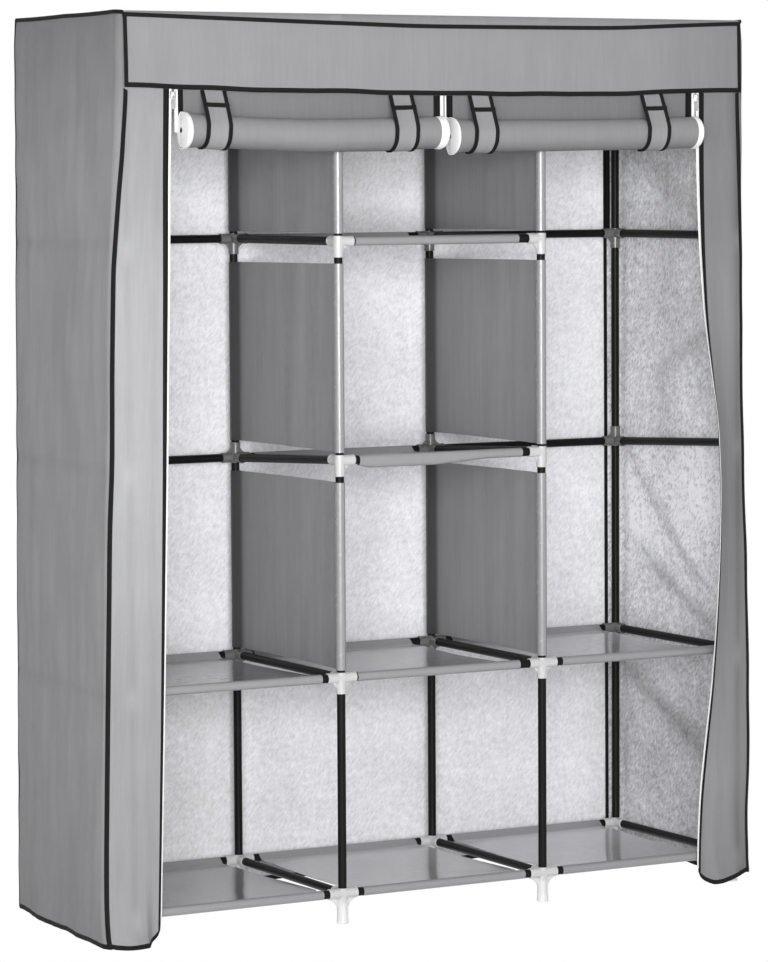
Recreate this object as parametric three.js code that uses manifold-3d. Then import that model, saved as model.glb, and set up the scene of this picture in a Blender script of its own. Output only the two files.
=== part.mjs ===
import * as THREE from 'three';
import { mergeVertices } from 'three/addons/utils/BufferGeometryUtils.js';
import Module from 'manifold-3d';

// Portable fabric wardrobe: a push-fit tube frame of three columns and four tiers inside a sewn cover.
// Millimetres, +Z up, front towards -Y, origin at the middle of the footprint on the floor.

// Tube frame
const columnPitch = 410;
const depthPitch = 400;
const tierHeight = 380;
const legHeight = 53;
const tubeDiameter = 15;
const tubeWall = 0.8;
const socketDiameter = 19;
const armReach = 28;
const socketFloor = 12;
const gussetThickness = 2.6;
const gussetSpan = 8;
const legGussetSpan = 15;
const teeHalfLength = 22;
const tubeSides = 8;

// Clearances
const fitGap = 0.3;
const clothGap = 0.4;
const doorGap = 3.1;
const overrun = 2;

// Cloth
const clothThickness = 1.2;
const sleeveEnd = 12;
const shelfSag = 9;
const partitionBow = 5;
const partitionLowGap = 4;
const partitionHighGap = 13;
const sagSteps = 4;

// Cover
const coverBackGap = 28;
const hemLift = 3;
const hemFlareLeft = 20;
const hemFlareRight = 4;
const bindingWidth = 5;
const bindingThickness = 2.8;
const bindingEdge = 1.5;
const valanceDrop = 132;
const seamOverlap = 12;
const stripWidth = 92;
const stripTaperLeft = 14;
const stripTaperRight = -4;
const panelBillow = 4;
const backFold = 5;
const backFolds = 3;

// Zips
const tapeThickness = 0.8;
const tapeWidth = 3.5;
const chainWidth = 4;
const chainThickness = 2.4;
const chainHalfGap = 0.9;

// Rolled doors and their straps
const rollDiameter = 57;
const rollTurns = 4;
const rollPitch = 3.6;
const rollStepsPerTurn = 12;
const rollDrop = 76;
const rollEndInset = 5;
const rollMiddleInset = 1.7;
const rollBackShare = 0.5;
const strapGap = 0.8;
const strapWidth = 48;
const strapSteps = 11;
const strapPlaceShares = {
  left: { outer: 0.865, inner: 0.172 },
  right: { outer: 0.816, inner: 0.132 },
};

// Zip sliders and pull tabs
const sliderWidth = 10.4;
const sliderHeight = 12;
const sliderPlate = 1.4;
const sliderWeb = 1;
const bailThickness = 1.8;
const bailOpening = 3;
const bailHalfHeight = 3.2;
const bailBar = 1.2;
const tabWidth = 6.4;
const tabLength = 24;
const tabThickness = 1.4;
const tabWindowHalfWidth = 1.6;
const tabWindowDepth = 5.4;
const tabBarHeight = 1.6;
const sliderHeadroom = 2;

// Counts and places that follow from the sizes above
const columnNames = ['left', 'centre', 'right'];
const levelNames = ['bottom', 'lower', 'middle', 'upper', 'top'];
const rowNames = ['front', 'back'];
const frameNames = ['frame_left', 'frame_centre_left', 'frame_centre_right', 'frame_right'];
const topLevel = levelNames.length - 1;
const tubeRadius = tubeDiameter / 2;
const socketRadius = socketDiameter / 2;
const flipDrop = armReach - socketRadius;
const probe = fitGap / 10;

const rollRadius = rollDiameter / 2;
const doorPlane = socketRadius + doorGap;
const rollPathRadius = rollRadius - clothThickness / 2;
const rollForward = doorPlane + clothThickness / 2 + rollPathRadius * rollBackShare;
const frontReach = rollForward + rollRadius + strapGap + clothThickness;
const backReach = coverBackGap + bindingThickness;
const frontY = frontReach - (frontReach + depthPitch + backReach) / 2;
const backY = frontY + depthPitch;
const topZ = legHeight + topLevel * tierHeight;
const roofZ = topZ + socketRadius + clothGap;
const coverX = columnNames.length * columnPitch / 2 + socketRadius + clothGap;
const sheetFrontY = frontY - doorPlane;
const valanceY = sheetFrontY - bindingThickness - clothGap;
const coverBackY = backY + coverBackGap;
const valanceZ = roofZ - valanceDrop;
const seamZ = valanceZ + seamOverlap;
const chainX = coverX - stripWidth - tapeWidth - chainWidth;
const sliderX = chainX - chainHalfGap;
const doorOuterX = sliderX - chainHalfGap;
const doorInnerX = chainHalfGap;
const rollZ = valanceZ - rollDrop;
const rollY = frontY - rollForward;
const sliderZ = valanceZ - sliderHeadroom - sliderHeight / 2;

const steel = { color: 0x17171a, roughness: 0.35, metalness: 0.3 };
const shelfCloth = { color: 0x8b8c8f, roughness: 0.45, metalness: 0 };
const partitionCloth = { color: 0x707274, roughness: 0.7, metalness: 0 };
const coverCloth = { color: 0x8f9194, roughness: 0.75, metalness: 0 };
const zipMetal = { color: 0xa9aaad, roughness: 0.35, metalness: 0.8 };

const wasm = await Module();
wasm.setup();

const group = new THREE.Group();

function add(name, geometry, look) {
  const mesh = new THREE.Mesh(geometry, new THREE.MeshStandardMaterial(look));
  mesh.name = name;
  group.add(mesh);
  return mesh;
}

function at(x, y, z) {
  return new THREE.Vector3(x, y, z);
}

function solidOf(geometry) {
  const bare = geometry.clone();
  bare.deleteAttribute('normal');
  bare.deleteAttribute('uv');
  const welded = mergeVertices(bare, probe);
  return new wasm.Manifold(new wasm.Mesh({
    numProp: 3,
    vertProperties: new Float32Array(welded.attributes.position.array),
    triVerts: new Uint32Array(welded.index.array),
  }));
}

function geometryOf(solid) {
  const mesh = solid.getMesh();
  const geometry = new THREE.BufferGeometry();
  geometry.setAttribute('position', new THREE.BufferAttribute(new Float32Array(mesh.vertProperties), 3));
  geometry.setIndex(new THREE.BufferAttribute(new Uint32Array(mesh.triVerts), 1));
  geometry.computeVertexNormals();
  return geometry;
}

function joined(geometries) {
  let whole = solidOf(geometries[0]);
  for (const geometry of geometries.slice(1)) {
    whole = whole.add(solidOf(geometry));
  }
  return whole;
}

// A bar between two points. Its flats lie at the given radius, one on each axis.
function bar(start, end, radius) {
  const span = new THREE.Vector3().subVectors(end, start);
  const cornerRadius = radius / Math.cos(Math.PI / tubeSides);
  const geometry = new THREE.CylinderGeometry(cornerRadius, cornerRadius, span.length(), tubeSides);
  geometry.rotateY(Math.PI / tubeSides);
  geometry.applyQuaternion(new THREE.Quaternion().setFromUnitVectors(at(0, 1, 0), span.normalize()));
  const middle = start.clone().lerp(end, 0.5);
  geometry.translate(middle.x, middle.y, middle.z);
  return geometry;
}

// Extrudes an outline drawn in the Y-Z plane along X.
function extrudeAlongX(shape, startX, endX) {
  const geometry = new THREE.ExtrudeGeometry(shape, { depth: endX - startX, bevelEnabled: false });
  geometry.applyMatrix4(new THREE.Matrix4().makeBasis(at(0, 1, 0), at(0, 0, 1), at(1, 0, 0)));
  geometry.translate(startX, 0, 0);
  return geometry;
}

// Extrudes an outline drawn with Y across and -X up along Z.
function extrudeAlongZ(shape, startZ, endZ) {
  const geometry = new THREE.ExtrudeGeometry(shape, { depth: endZ - startZ, bevelEnabled: false });
  geometry.applyMatrix4(new THREE.Matrix4().makeBasis(at(0, 1, 0), at(-1, 0, 0), at(0, 0, 1)));
  geometry.translate(0, 0, startZ);
  return geometry;
}

// The frame: posts, tubes from front to back and the moulded connectors

function postX(post) {
  return (post - columnNames.length / 2) * columnPitch;
}

function rowY(row) {
  return row === 0 ? frontY : backY;
}

function isFlipped(row, level) {
  return row === 1 && level === 2;
}

function axisZ(row, level) {
  const drop = isFlipped(row, level) ? flipDrop : 0;
  return legHeight + level * tierHeight - drop;
}

function hasRail(row, level, column) {
  const isFullLevel = level < 2 || level === topLevel;
  return isFullLevel || row === 1 || column === 1;
}

function hasRod(column) {
  return column !== 1;
}

// A triangular web in the corner between an arm and the upright socket.
function gusset(centre, armDirection, socketSign, span) {
  const inner = socketRadius / 2;
  const outer = socketRadius + span;
  const shape = new THREE.Shape();
  shape.moveTo(inner, inner);
  shape.lineTo(outer, inner);
  shape.lineTo(inner, outer);
  shape.closePath();
  const geometry = new THREE.ExtrudeGeometry(shape, { depth: gussetThickness, bevelEnabled: false });
  geometry.translate(0, 0, -gussetThickness / 2);
  const upright = at(0, 0, socketSign);
  const across = new THREE.Vector3().crossVectors(armDirection, upright);
  geometry.applyMatrix4(new THREE.Matrix4().makeBasis(armDirection, upright, across));
  geometry.translate(centre.x, centre.y, centre.z);
  return geometry;
}

function connector(row, level, post, solids, bores) {
  const centre = at(postX(post), rowY(row), axisZ(row, level));
  const socketSign = isFlipped(row, level) ? 1 : -1;
  const socketReach = level === 0 ? legHeight : armReach;
  const span = level === 0 ? legGussetSpan : gussetSpan;
  const socketEnd = centre.clone().add(at(0, 0, socketSign * socketReach));
  const capEnd = centre.clone().add(at(0, 0, -socketSign * socketRadius));
  solids.push(bar(socketEnd, capEnd, socketRadius));

  const inward = at(0, row === 0 ? 1 : -1, 0);
  const depthMouth = centre.clone().addScaledVector(inward, armReach);
  solids.push(bar(centre, depthMouth, socketRadius));
  if (level === 0) {
    solids.push(gusset(centre, inward, socketSign, span));
  }

  for (const side of [-1, 1]) {
    const column = side < 0 ? post - 1 : post;
    const isColumn = column >= 0 && column < columnNames.length;
    if (isColumn && hasRail(row, level, column)) {
      railSocket(centre, side, solids, bores);
      solids.push(gusset(centre, at(side, 0, 0), socketSign, span));
    }
  }
}

// A socket that opens sideways, with the bore that takes a tube end.
function railSocket(centre, side, solids, bores) {
  const mouth = centre.clone().add(at(side * armReach, 0, 0));
  const floor = centre.clone().add(at(side * socketFloor, 0, 0));
  const beyond = centre.clone().add(at(side * (armReach + overrun), 0, 0));
  solids.push(bar(centre, mouth, socketRadius));
  bores.push(bar(floor, beyond, tubeRadius + fitGap));
}

function sideFrame(post) {
  const x = postX(post);
  const solids = [];
  const bores = [];
  for (let row = 0; row < rowNames.length; row++) {
    const y = rowY(row);
    solids.push(bar(at(x, y, axisZ(row, 0)), at(x, y, axisZ(row, topLevel)), tubeRadius));
    for (let level = 0; level <= topLevel; level++) {
      connector(row, level, post, solids, bores);
    }
  }
  for (let level = 0; level <= topLevel; level++) {
    solids.push(bar(at(x, frontY, axisZ(0, level)), at(x, backY, axisZ(1, level)), tubeRadius));
  }
  rodTee(post, solids, bores);
  let whole = joined(solids);
  for (const bore of bores) {
    whole = whole.subtract(solidOf(bore));
  }
  return geometryOf(whole);
}

// The tee on the top tube that carries a hanging rod.
function rodTee(post, solids, bores) {
  const middleY = frontY + depthPitch / 2;
  const centre = at(postX(post), middleY, topZ);
  const along = at(0, teeHalfLength, 0);
  solids.push(bar(centre.clone().sub(along), centre.clone().add(along), socketRadius));
  for (const side of [-1, 1]) {
    const column = side < 0 ? post - 1 : post;
    const isColumn = column >= 0 && column < columnNames.length;
    if (isColumn && hasRod(column)) {
      railSocket(centre, side, solids, bores);
    }
  }
}

// A tube across one column, its ends in the sockets at both sides.
function crossTube(column, y, z) {
  const inset = socketFloor + fitGap;
  const startX = postX(column) + inset;
  const endX = postX(column + 1) - inset;
  const outer = bar(at(startX, y, z), at(endX, y, z), tubeRadius);
  const inner = bar(at(startX - overrun, y, z), at(endX + overrun, y, z), tubeRadius - tubeWall);
  return geometryOf(solidOf(outer).subtract(solidOf(inner)));
}

// Cloth panels that are sleeved over two tubes

// Outline of a panel between two tubes: a sleeve round each and a sheet that hangs between them.
function sleevedOutline(span, drop, sag) {
  const boreRadius = (tubeRadius + clothGap) / Math.cos(Math.PI / tubeSides);
  const sleeveRadius = boreRadius + clothThickness;
  const mouthAngle = Math.asin(clothThickness / 2 / sleeveRadius);
  const shape = new THREE.Shape();
  const startAngle = Math.PI + mouthAngle;
  const turn = 2 * Math.PI - 2 * mouthAngle;
  const outline = [];
  for (let step = 0; step <= tubeSides; step++) {
    const angle = startAngle + turn * step / tubeSides;
    outline.push([span + sleeveRadius * Math.cos(angle), -drop + sleeveRadius * Math.sin(angle)]);
  }
  outline.push(...sheetLine(span, drop, sag, sleeveRadius, 1).reverse());
  for (let step = 0; step <= tubeSides; step++) {
    const angle = mouthAngle + turn * step / tubeSides;
    outline.push([sleeveRadius * Math.cos(angle), sleeveRadius * Math.sin(angle)]);
  }
  outline.push(...sheetLine(span, drop, sag, sleeveRadius, -1));
  shape.setFromPoints(outline.map(([across, height]) => new THREE.Vector2(across, height)));
  for (const [across, height] of [[0, 0], [span, -drop]]) {
    const corners = [];
    for (let corner = 0; corner < tubeSides; corner++) {
      const angle = 2 * Math.PI * (corner + 0.5) / tubeSides;
      const x = across + boreRadius * Math.cos(angle);
      const y = height + boreRadius * Math.sin(angle);
      corners.push(new THREE.Vector2(x, y));
    }
    shape.holes.push(new THREE.Path(corners));
  }
  return shape;
}

// One face of the sheet, from the first sleeve to the second, above or below the middle line.
function sheetLine(span, drop, sag, sleeveRadius, side) {
  const points = [];
  for (let step = 1; step < sagSteps; step++) {
    const share = step / sagSteps;
    const across = sleeveRadius + (span - 2 * sleeveRadius) * share;
    const hang = 4 * sag * share * (1 - share);
    points.push([across, -drop * share - hang + side * clothThickness / 2]);
  }
  return points;
}

function shelf(level, column) {
  const drop = axisZ(0, level) - axisZ(1, level);
  const startX = postX(column) + armReach + sleeveEnd;
  const endX = postX(column + 1) - armReach - sleeveEnd;
  const geometry = extrudeAlongX(sleevedOutline(depthPitch, drop, shelfSag), startX, endX);
  geometry.translate(0, frontY, axisZ(0, level));
  return geometry;
}

function partition(tier, post) {
  const lowZ = legHeight + tier * tierHeight + socketRadius + partitionLowGap;
  const highZ = legHeight + (tier + 1) * tierHeight - armReach - partitionHighGap;
  const geometry = extrudeAlongZ(sleevedOutline(depthPitch, 0, partitionBow), lowZ, highZ);
  geometry.translate(postX(post), frontY, 0);
  return geometry;
}

// The cover: sheets with a bound edge, drawn by their inner face

// Closes a sheet between its inner face and an outer face that lies the given thickness outside it.
function sheetSolid(across, along, pointAt, thicknessAt, outwardHint) {
  const positions = [];
  for (const isOuter of [false, true]) {
    for (const b of along) {
      for (const a of across) {
        const point = pointAt(a, b);
        if (isOuter) {
          const spanA = pointAt(a + probe, b).sub(pointAt(a - probe, b));
          const spanB = pointAt(a, b + probe).sub(pointAt(a, b - probe));
          const normal = spanA.cross(spanB).normalize().multiplyScalar(outwardHint);
          point.addScaledVector(normal, thicknessAt(a, b));
        }
        positions.push(point.x, point.y, point.z);
      }
    }
  }
  const width = across.length;
  const layer = width * along.length;
  const indices = [];
  const quad = (p, q, r, s) => {
    const ordered = outwardHint > 0 ? [p, q, r, p, r, s] : [p, r, q, p, s, r];
    indices.push(...ordered);
  };
  for (let j = 0; j + 1 < along.length; j++) {
    for (let i = 0; i + 1 < width; i++) {
      const corner = j * width + i;
      quad(layer + corner, layer + corner + 1, layer + corner + width + 1, layer + corner + width);
      quad(corner, corner + width, corner + width + 1, corner + 1);
    }
  }
  for (let i = 0; i + 1 < width; i++) {
    const last = layer - width + i;
    quad(i, i + 1, layer + i + 1, layer + i);
    quad(last, layer + last, layer + last + 1, last + 1);
  }
  for (let j = 0; j + 1 < along.length; j++) {
    const first = j * width;
    const last = first + width - 1;
    quad(first, layer + first, layer + first + width, first + width);
    quad(last, last + width, layer + last + width, layer + last);
  }
  const geometry = new THREE.BufferGeometry();
  geometry.setAttribute('position', new THREE.BufferAttribute(new Float32Array(positions), 3));
  geometry.setIndex(indices);
  geometry.computeVertexNormals();
  return geometry;
}

// Grid lines across a sheet: a bound band has a line at each edge and one just inside it.
function boundStart(start) {
  return [start, start + bindingWidth, start + bindingWidth + bindingEdge];
}

function boundEnd(end) {
  return [end - bindingWidth - bindingEdge, end - bindingWidth, end];
}

function boundFold(place) {
  const half = bindingWidth / 2;
  return [place - half - bindingEdge, place - half, place, place + half, place + half + bindingEdge];
}

function evenly(start, end, count) {
  return Array.from({ length: count }, (_, index) => start + (end - start) * (index + 1) / (count + 1));
}

function isNear(value, place, reach) {
  return Math.abs(value - place) <= reach + probe;
}

// Heights of the grid lines on the upright panels: hem, tube levels, half levels and top edge.
function uprightLines(topEdge) {
  const lines = boundStart(hemLift);
  for (let half = 1; half < 2 * topLevel; half++) {
    lines.push(legHeight + half * tierHeight / 2);
  }
  return [...lines, ...boundEnd(topEdge)];
}

function outwardLean(side, z) {
  const hemFlare = side < 0 ? hemFlareLeft : hemFlareRight;
  return hemFlare * (1 - z / roofZ);
}

function stripNarrowing(side, z) {
  const stripTaper = side < 0 ? stripTaperLeft : stripTaperRight;
  return stripTaper * (1 - z / roofZ);
}

// How far the zip's line has moved outwards at a height.
function chainShift(side, z) {
  return outwardLean(side, z) + stripNarrowing(side, z);
}

function bulge(share) {
  return Math.sin(Math.PI * Math.min(1, Math.max(0, share)));
}

function tierBulge(z) {
  return Math.sin(Math.PI * (z - legHeight) / tierHeight) ** 2;
}

const sidePanelBack = coverBackY + bindingThickness;
const sidePanelDepth = sidePanelBack - sheetFrontY;
const coverTopEdge = roofZ - clothGap;

// A side panel and the strip that it turns into at the front, with half of a zip on the strip's edge.
function coverSide(side) {
  const stripEdge = sidePanelDepth + stripWidth;
  const chainStart = stripEdge + tapeWidth;
  const chainEnd = chainStart + chainWidth;
  const across = [
    ...boundStart(0),
    ...evenly(bindingWidth, sidePanelDepth - bindingWidth, 3),
    ...boundFold(sidePanelDepth),
    ...evenly(sidePanelDepth + bindingWidth, stripEdge - bindingWidth, 1),
    ...boundEnd(stripEdge),
    stripEdge + bindingEdge / 2,
    chainStart - bindingEdge / 2,
    chainStart,
    chainEnd,
  ];
  const pointAt = (a, z) => {
    const x = coverX + outwardLean(side, z);
    if (a <= sidePanelDepth) {
      const billow = panelBillow * bulge(a / sidePanelDepth) * tierBulge(z);
      return at(side * (x + billow), sidePanelBack - a, z);
    }
    const onStrip = a - sidePanelDepth;
    const narrowing = stripNarrowing(side, z) * Math.min(1, onStrip / stripWidth);
    return at(side * (x - onStrip + narrowing), sheetFrontY, z);
  };
  const thicknessAt = (a, z) => {
    if (a >= chainStart) {
      return chainThickness;
    }
    if (a > stripEdge + probe) {
      return tapeThickness;
    }
    const isBound = isNear(a, 0, bindingWidth)
      || isNear(a, sidePanelDepth, bindingWidth / 2)
      || isNear(a, stripEdge, bindingWidth)
      || isNear(z, hemLift, bindingWidth)
      || isNear(z, coverTopEdge, bindingWidth);
    return isBound ? bindingThickness : clothThickness;
  };
  return sheetSolid(across, uprightLines(coverTopEdge), pointAt, thicknessAt, -side);
}

// The back panel, hung between the side panels in shallow folds.
function coverBack() {
  const across = [-coverX, ...evenly(-coverX, coverX, 2 * backFolds + 1), coverX];
  const pointAt = (a, z) => {
    const share = a / coverX;
    const halfWidth = coverX + outwardLean(Math.sign(a), z) - clothGap;
    const fold = backFold * (1 - Math.cos(Math.PI * backFolds * (share + 1))) / 2;
    return at(share * halfWidth, coverBackY - fold * tierBulge(z), z);
  };
  const thicknessAt = (a, z) => {
    const isBound = isNear(z, hemLift, bindingWidth) || isNear(z, coverTopEdge, bindingWidth);
    return isBound ? bindingThickness : clothThickness;
  };
  return sheetSolid(across, uprightLines(coverTopEdge), pointAt, thicknessAt, -1);
}

// The top panel and the valance that falls from its front edge.
function coverTop() {
  const halfWidth = coverX + bindingThickness;
  const topDepth = sidePanelBack - valanceY;
  const across = [
    ...boundStart(0),
    ...evenly(bindingWidth, valanceDrop - bindingWidth, 1),
    ...boundFold(valanceDrop),
    ...evenly(valanceDrop, valanceDrop + topDepth, 3),
    ...boundEnd(valanceDrop + topDepth),
  ];
  const along = [
    ...boundStart(-halfWidth),
    ...evenly(-halfWidth, halfWidth, 7),
    ...boundEnd(halfWidth),
  ];
  const pointAt = (a, x) => {
    if (a <= valanceDrop) {
      return at(x, valanceY, valanceZ + a);
    }
    return at(x, valanceY + a - valanceDrop, roofZ);
  };
  const thicknessAt = (a, x) => {
    const isBound = isNear(a, 0, bindingWidth)
      || isNear(a, valanceDrop, bindingWidth / 2)
      || isNear(a, valanceDrop + topDepth, bindingWidth)
      || isNear(Math.abs(x), halfWidth, bindingWidth);
    return isBound ? bindingThickness : clothThickness;
  };
  return sheetSolid(across, along, pointAt, thicknessAt, -1);
}

// Rolled doors

// Outline of a ribbon of even thickness along a path in the Y-Z plane.
function ribbonShape(path, thickness) {
  const left = [];
  const right = [];
  for (let index = 0; index < path.length; index++) {
    const before = path[Math.max(0, index - 1)];
    const after = path[Math.min(path.length - 1, index + 1)];
    const along = new THREE.Vector2().subVectors(after, before).normalize();
    const normal = new THREE.Vector2(-along.y, along.x).multiplyScalar(thickness / 2);
    left.push(path[index].clone().add(normal));
    right.push(path[index].clone().sub(normal));
  }
  return new THREE.Shape([...left, ...right.reverse()]);
}

// A point on the roll: the front half is round, the back half lies flatter against the door.
function rollPoint(angle, radius) {
  const across = Math.cos(angle) * radius;
  const y = across > 0 ? across * rollBackShare : across;
  return new THREE.Vector2(rollY + y, rollZ + Math.sin(angle) * radius);
}

function rollPath() {
  const points = [];
  const steps = rollTurns * rollStepsPerTurn;
  for (let step = 0; step <= steps; step++) {
    const turn = step / rollStepsPerTurn;
    points.push(rollPoint(-2 * Math.PI * turn, rollPathRadius - rollPitch * turn));
  }
  return points;
}

// Least gap between neighbouring turns of the roll, measured on the points of its path.
function leastRollGap(path) {
  let least = Infinity;
  for (let first = 0; first < path.length; first++) {
    for (let second = first + rollStepsPerTurn / 2; second < path.length; second++) {
      least = Math.min(least, path[first].distanceTo(path[second]) - clothThickness);
    }
  }
  return least;
}

function rolledDoor(side) {
  const path = rollPath();
  const edges = [side * (doorInnerX + rollMiddleInset), side * (doorOuterX - rollEndInset)];
  const roll = extrudeAlongX(ribbonShape(path, clothThickness), Math.min(...edges), Math.max(...edges));
  const doorWidth = doorOuterX - doorInnerX;
  const fallHeight = seamZ - rollZ;
  const fall = new THREE.BoxGeometry(doorWidth, clothThickness, fallHeight);
  fall.translate(side * (doorInnerX + doorWidth / 2), path[0].x, rollZ + fallHeight / 2);
  const solids = [roll, fall];
  for (const edge of [doorInnerX + chainWidth / 2, doorOuterX - chainWidth / 2]) {
    const chain = new THREE.BoxGeometry(chainWidth, chainThickness, fallHeight);
    const chainY = sheetFrontY - chainThickness / 2;
    chain.translate(side * edge, chainY, rollZ + fallHeight / 2);
    solids.push(chain);
  }
  return geometryOf(joined(solids));
}

// A strap hangs on both sides of the door and passes under the roll.
function strap(centreX) {
  const lift = clothGap + clothThickness / 2;
  const radius = rollRadius + strapGap + clothThickness / 2;
  const frontTop = new THREE.Vector2(valanceY + lift, seamZ);
  const knee = new THREE.Vector2(frontTop.x, valanceZ - clothThickness);
  const backLineY = sheetFrontY + lift;
  const fromCentre = new THREE.Vector2(knee.x - rollY, knee.y - rollZ);
  const tangent = fromCentre.angle() + Math.acos(radius / fromCentre.length());
  const path = [frontTop, knee];
  for (let step = 0; step <= strapSteps; step++) {
    const angle = tangent + (2 * Math.PI - tangent) * step / strapSteps;
    const point = rollPoint(angle, radius);
    const isBack = Math.cos(angle) > 0;
    const backSpan = backLineY - rollY;
    point.x = isBack ? rollY + Math.cos(angle) * backSpan : point.x;
    path.push(point);
  }
  path.push(new THREE.Vector2(backLineY, seamZ));
  const shape = ribbonShape(path, clothThickness);
  return extrudeAlongX(shape, centreX - strapWidth / 2, centreX + strapWidth / 2);
}

// Zip sliders and pull tabs, drawn about the slider's own centre with its chain along Z

function zipSlider() {
  const outerHalf = chainThickness / 2 + clothGap + sliderPlate;
  const innerHalf = chainThickness / 2 + clothGap;
  const halfWidth = sliderWidth / 2;
  const halfWeb = sliderWeb / 2;
  const shape = new THREE.Shape();
  shape.moveTo(-outerHalf, -halfWidth);
  shape.lineTo(-innerHalf, -halfWidth);
  shape.lineTo(-innerHalf, -halfWeb);
  shape.lineTo(innerHalf, -halfWeb);
  shape.lineTo(innerHalf, -halfWidth);
  shape.lineTo(outerHalf, -halfWidth);
  shape.lineTo(outerHalf, halfWidth);
  shape.lineTo(innerHalf, halfWidth);
  shape.lineTo(innerHalf, halfWeb);
  shape.lineTo(-innerHalf, halfWeb);
  shape.lineTo(-innerHalf, halfWidth);
  shape.lineTo(-outerHalf, halfWidth);
  shape.closePath();
  const body = extrudeAlongZ(shape, -sliderHeight / 2, sliderHeight / 2);
  const bailReach = outerHalf + bailOpening + bailBar;
  const bailOutline = new THREE.Shape();
  const bailTop = bailHalfHeight + bailBar;
  bailOutline.moveTo(-innerHalf - sliderPlate / 2, -bailTop);
  bailOutline.lineTo(-innerHalf - sliderPlate / 2, bailTop);
  bailOutline.lineTo(-bailReach, bailHalfHeight);
  bailOutline.lineTo(-bailReach, -bailHalfHeight);
  bailOutline.closePath();
  const opening = new THREE.Path();
  const openingHalf = bailHalfHeight - bailBar / 2;
  opening.moveTo(-outerHalf, -openingHalf);
  opening.lineTo(-outerHalf - bailOpening, -openingHalf);
  opening.lineTo(-outerHalf - bailOpening, openingHalf);
  opening.lineTo(-outerHalf, openingHalf);
  opening.closePath();
  bailOutline.holes.push(opening);
  const bail = extrudeAlongX(bailOutline, -bailThickness / 2, bailThickness / 2);
  return geometryOf(joined([body, bail]));
}

const tabHingeY = -(chainThickness / 2 + clothGap + sliderPlate + bailOpening / 2);

// The tab hangs from a bar that passes under the bail.
function pullTab() {
  const halfWidth = tabWidth / 2;
  const halfBar = tabBarHeight / 2;
  const outline = new THREE.Shape();
  outline.moveTo(-halfWidth, halfBar);
  outline.lineTo(-halfWidth, -tabLength + halfWidth);
  outline.absarc(0, -tabLength + halfWidth, halfWidth, Math.PI, 2 * Math.PI, false);
  outline.lineTo(halfWidth, halfBar);
  outline.closePath();
  const window = new THREE.Path();
  window.moveTo(-tabWindowHalfWidth, -halfBar);
  window.lineTo(tabWindowHalfWidth, -halfBar);
  window.lineTo(tabWindowHalfWidth, -tabWindowDepth);
  window.lineTo(-tabWindowHalfWidth, -tabWindowDepth);
  window.closePath();
  outline.holes.push(window);
  const settings = { depth: tabThickness, bevelEnabled: false, curveSegments: 6 };
  const geometry = new THREE.ExtrudeGeometry(outline, settings);
  geometry.translate(0, 0, -tabThickness / 2);
  geometry.rotateX(Math.PI / 2);
  return geometry;
}

// Assembly

frameNames.forEach((name, post) => add(name, sideFrame(post), steel));

levelNames.forEach((levelName, level) => {
  rowNames.forEach((rowName, row) => {
    columnNames.forEach((columnName, column) => {
      if (hasRail(row, level, column)) {
        const geometry = crossTube(column, rowY(row), axisZ(row, level));
        add(`rail_${levelName}_${rowName}_${columnName}`, geometry, steel);
      }
    });
  });
});

columnNames.forEach((columnName, column) => {
  if (hasRod(column)) {
    add(`hanging_rod_${columnName}`, crossTube(column, frontY + depthPitch / 2, topZ), steel);
  }
});

levelNames.slice(0, topLevel).forEach((levelName, level) => {
  columnNames.forEach((columnName, column) => {
    if (hasRail(0, level, column)) {
      add(`shelf_${levelName}_${columnName}`, shelf(level, column), shelfCloth);
    }
  });
});

for (let tier = 1; tier < topLevel; tier++) {
  for (const [sideName, post] of [['left', 1], ['right', 2]]) {
    add(`partition_${levelNames[tier]}_${sideName}`, partition(tier, post), partitionCloth);
  }
}

for (const [sideName, side] of [['left', -1], ['right', 1]]) {
  add(`cover_${sideName}`, coverSide(side), coverCloth);
  add(`door_${sideName}`, rolledDoor(side), coverCloth);
  for (const [placeName, share] of Object.entries(strapPlaceShares[sideName])) {
    add(`strap_${sideName}_${placeName}`, strap(side * share * doorOuterX), coverCloth);
  }
  const runner = new THREE.Group();
  const runnerX = sliderX + chainShift(side, sliderZ);
  runner.position.set(side * runnerX, sheetFrontY - chainThickness / 2, sliderZ);
  runner.rotation.y = -side * Math.atan(chainShift(side, 0) / roofZ);
  group.add(runner);
  const slider = add(`zip_slider_${sideName}`, zipSlider(), zipMetal);
  const tab = add(`zip_pull_${sideName}`, pullTab(), zipMetal);
  tab.position.y = tabHingeY;
  runner.add(slider, tab);
}
add('cover_back', coverBack(), coverCloth);
add('cover_top', coverTop(), coverCloth);

console.log(`least gap between turns of a door roll: ${leastRollGap(rollPath()).toFixed(2)} mm`);

export default group;
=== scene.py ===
import math

import bpy
import numpy as np
from mathutils import Matrix, Vector


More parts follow.
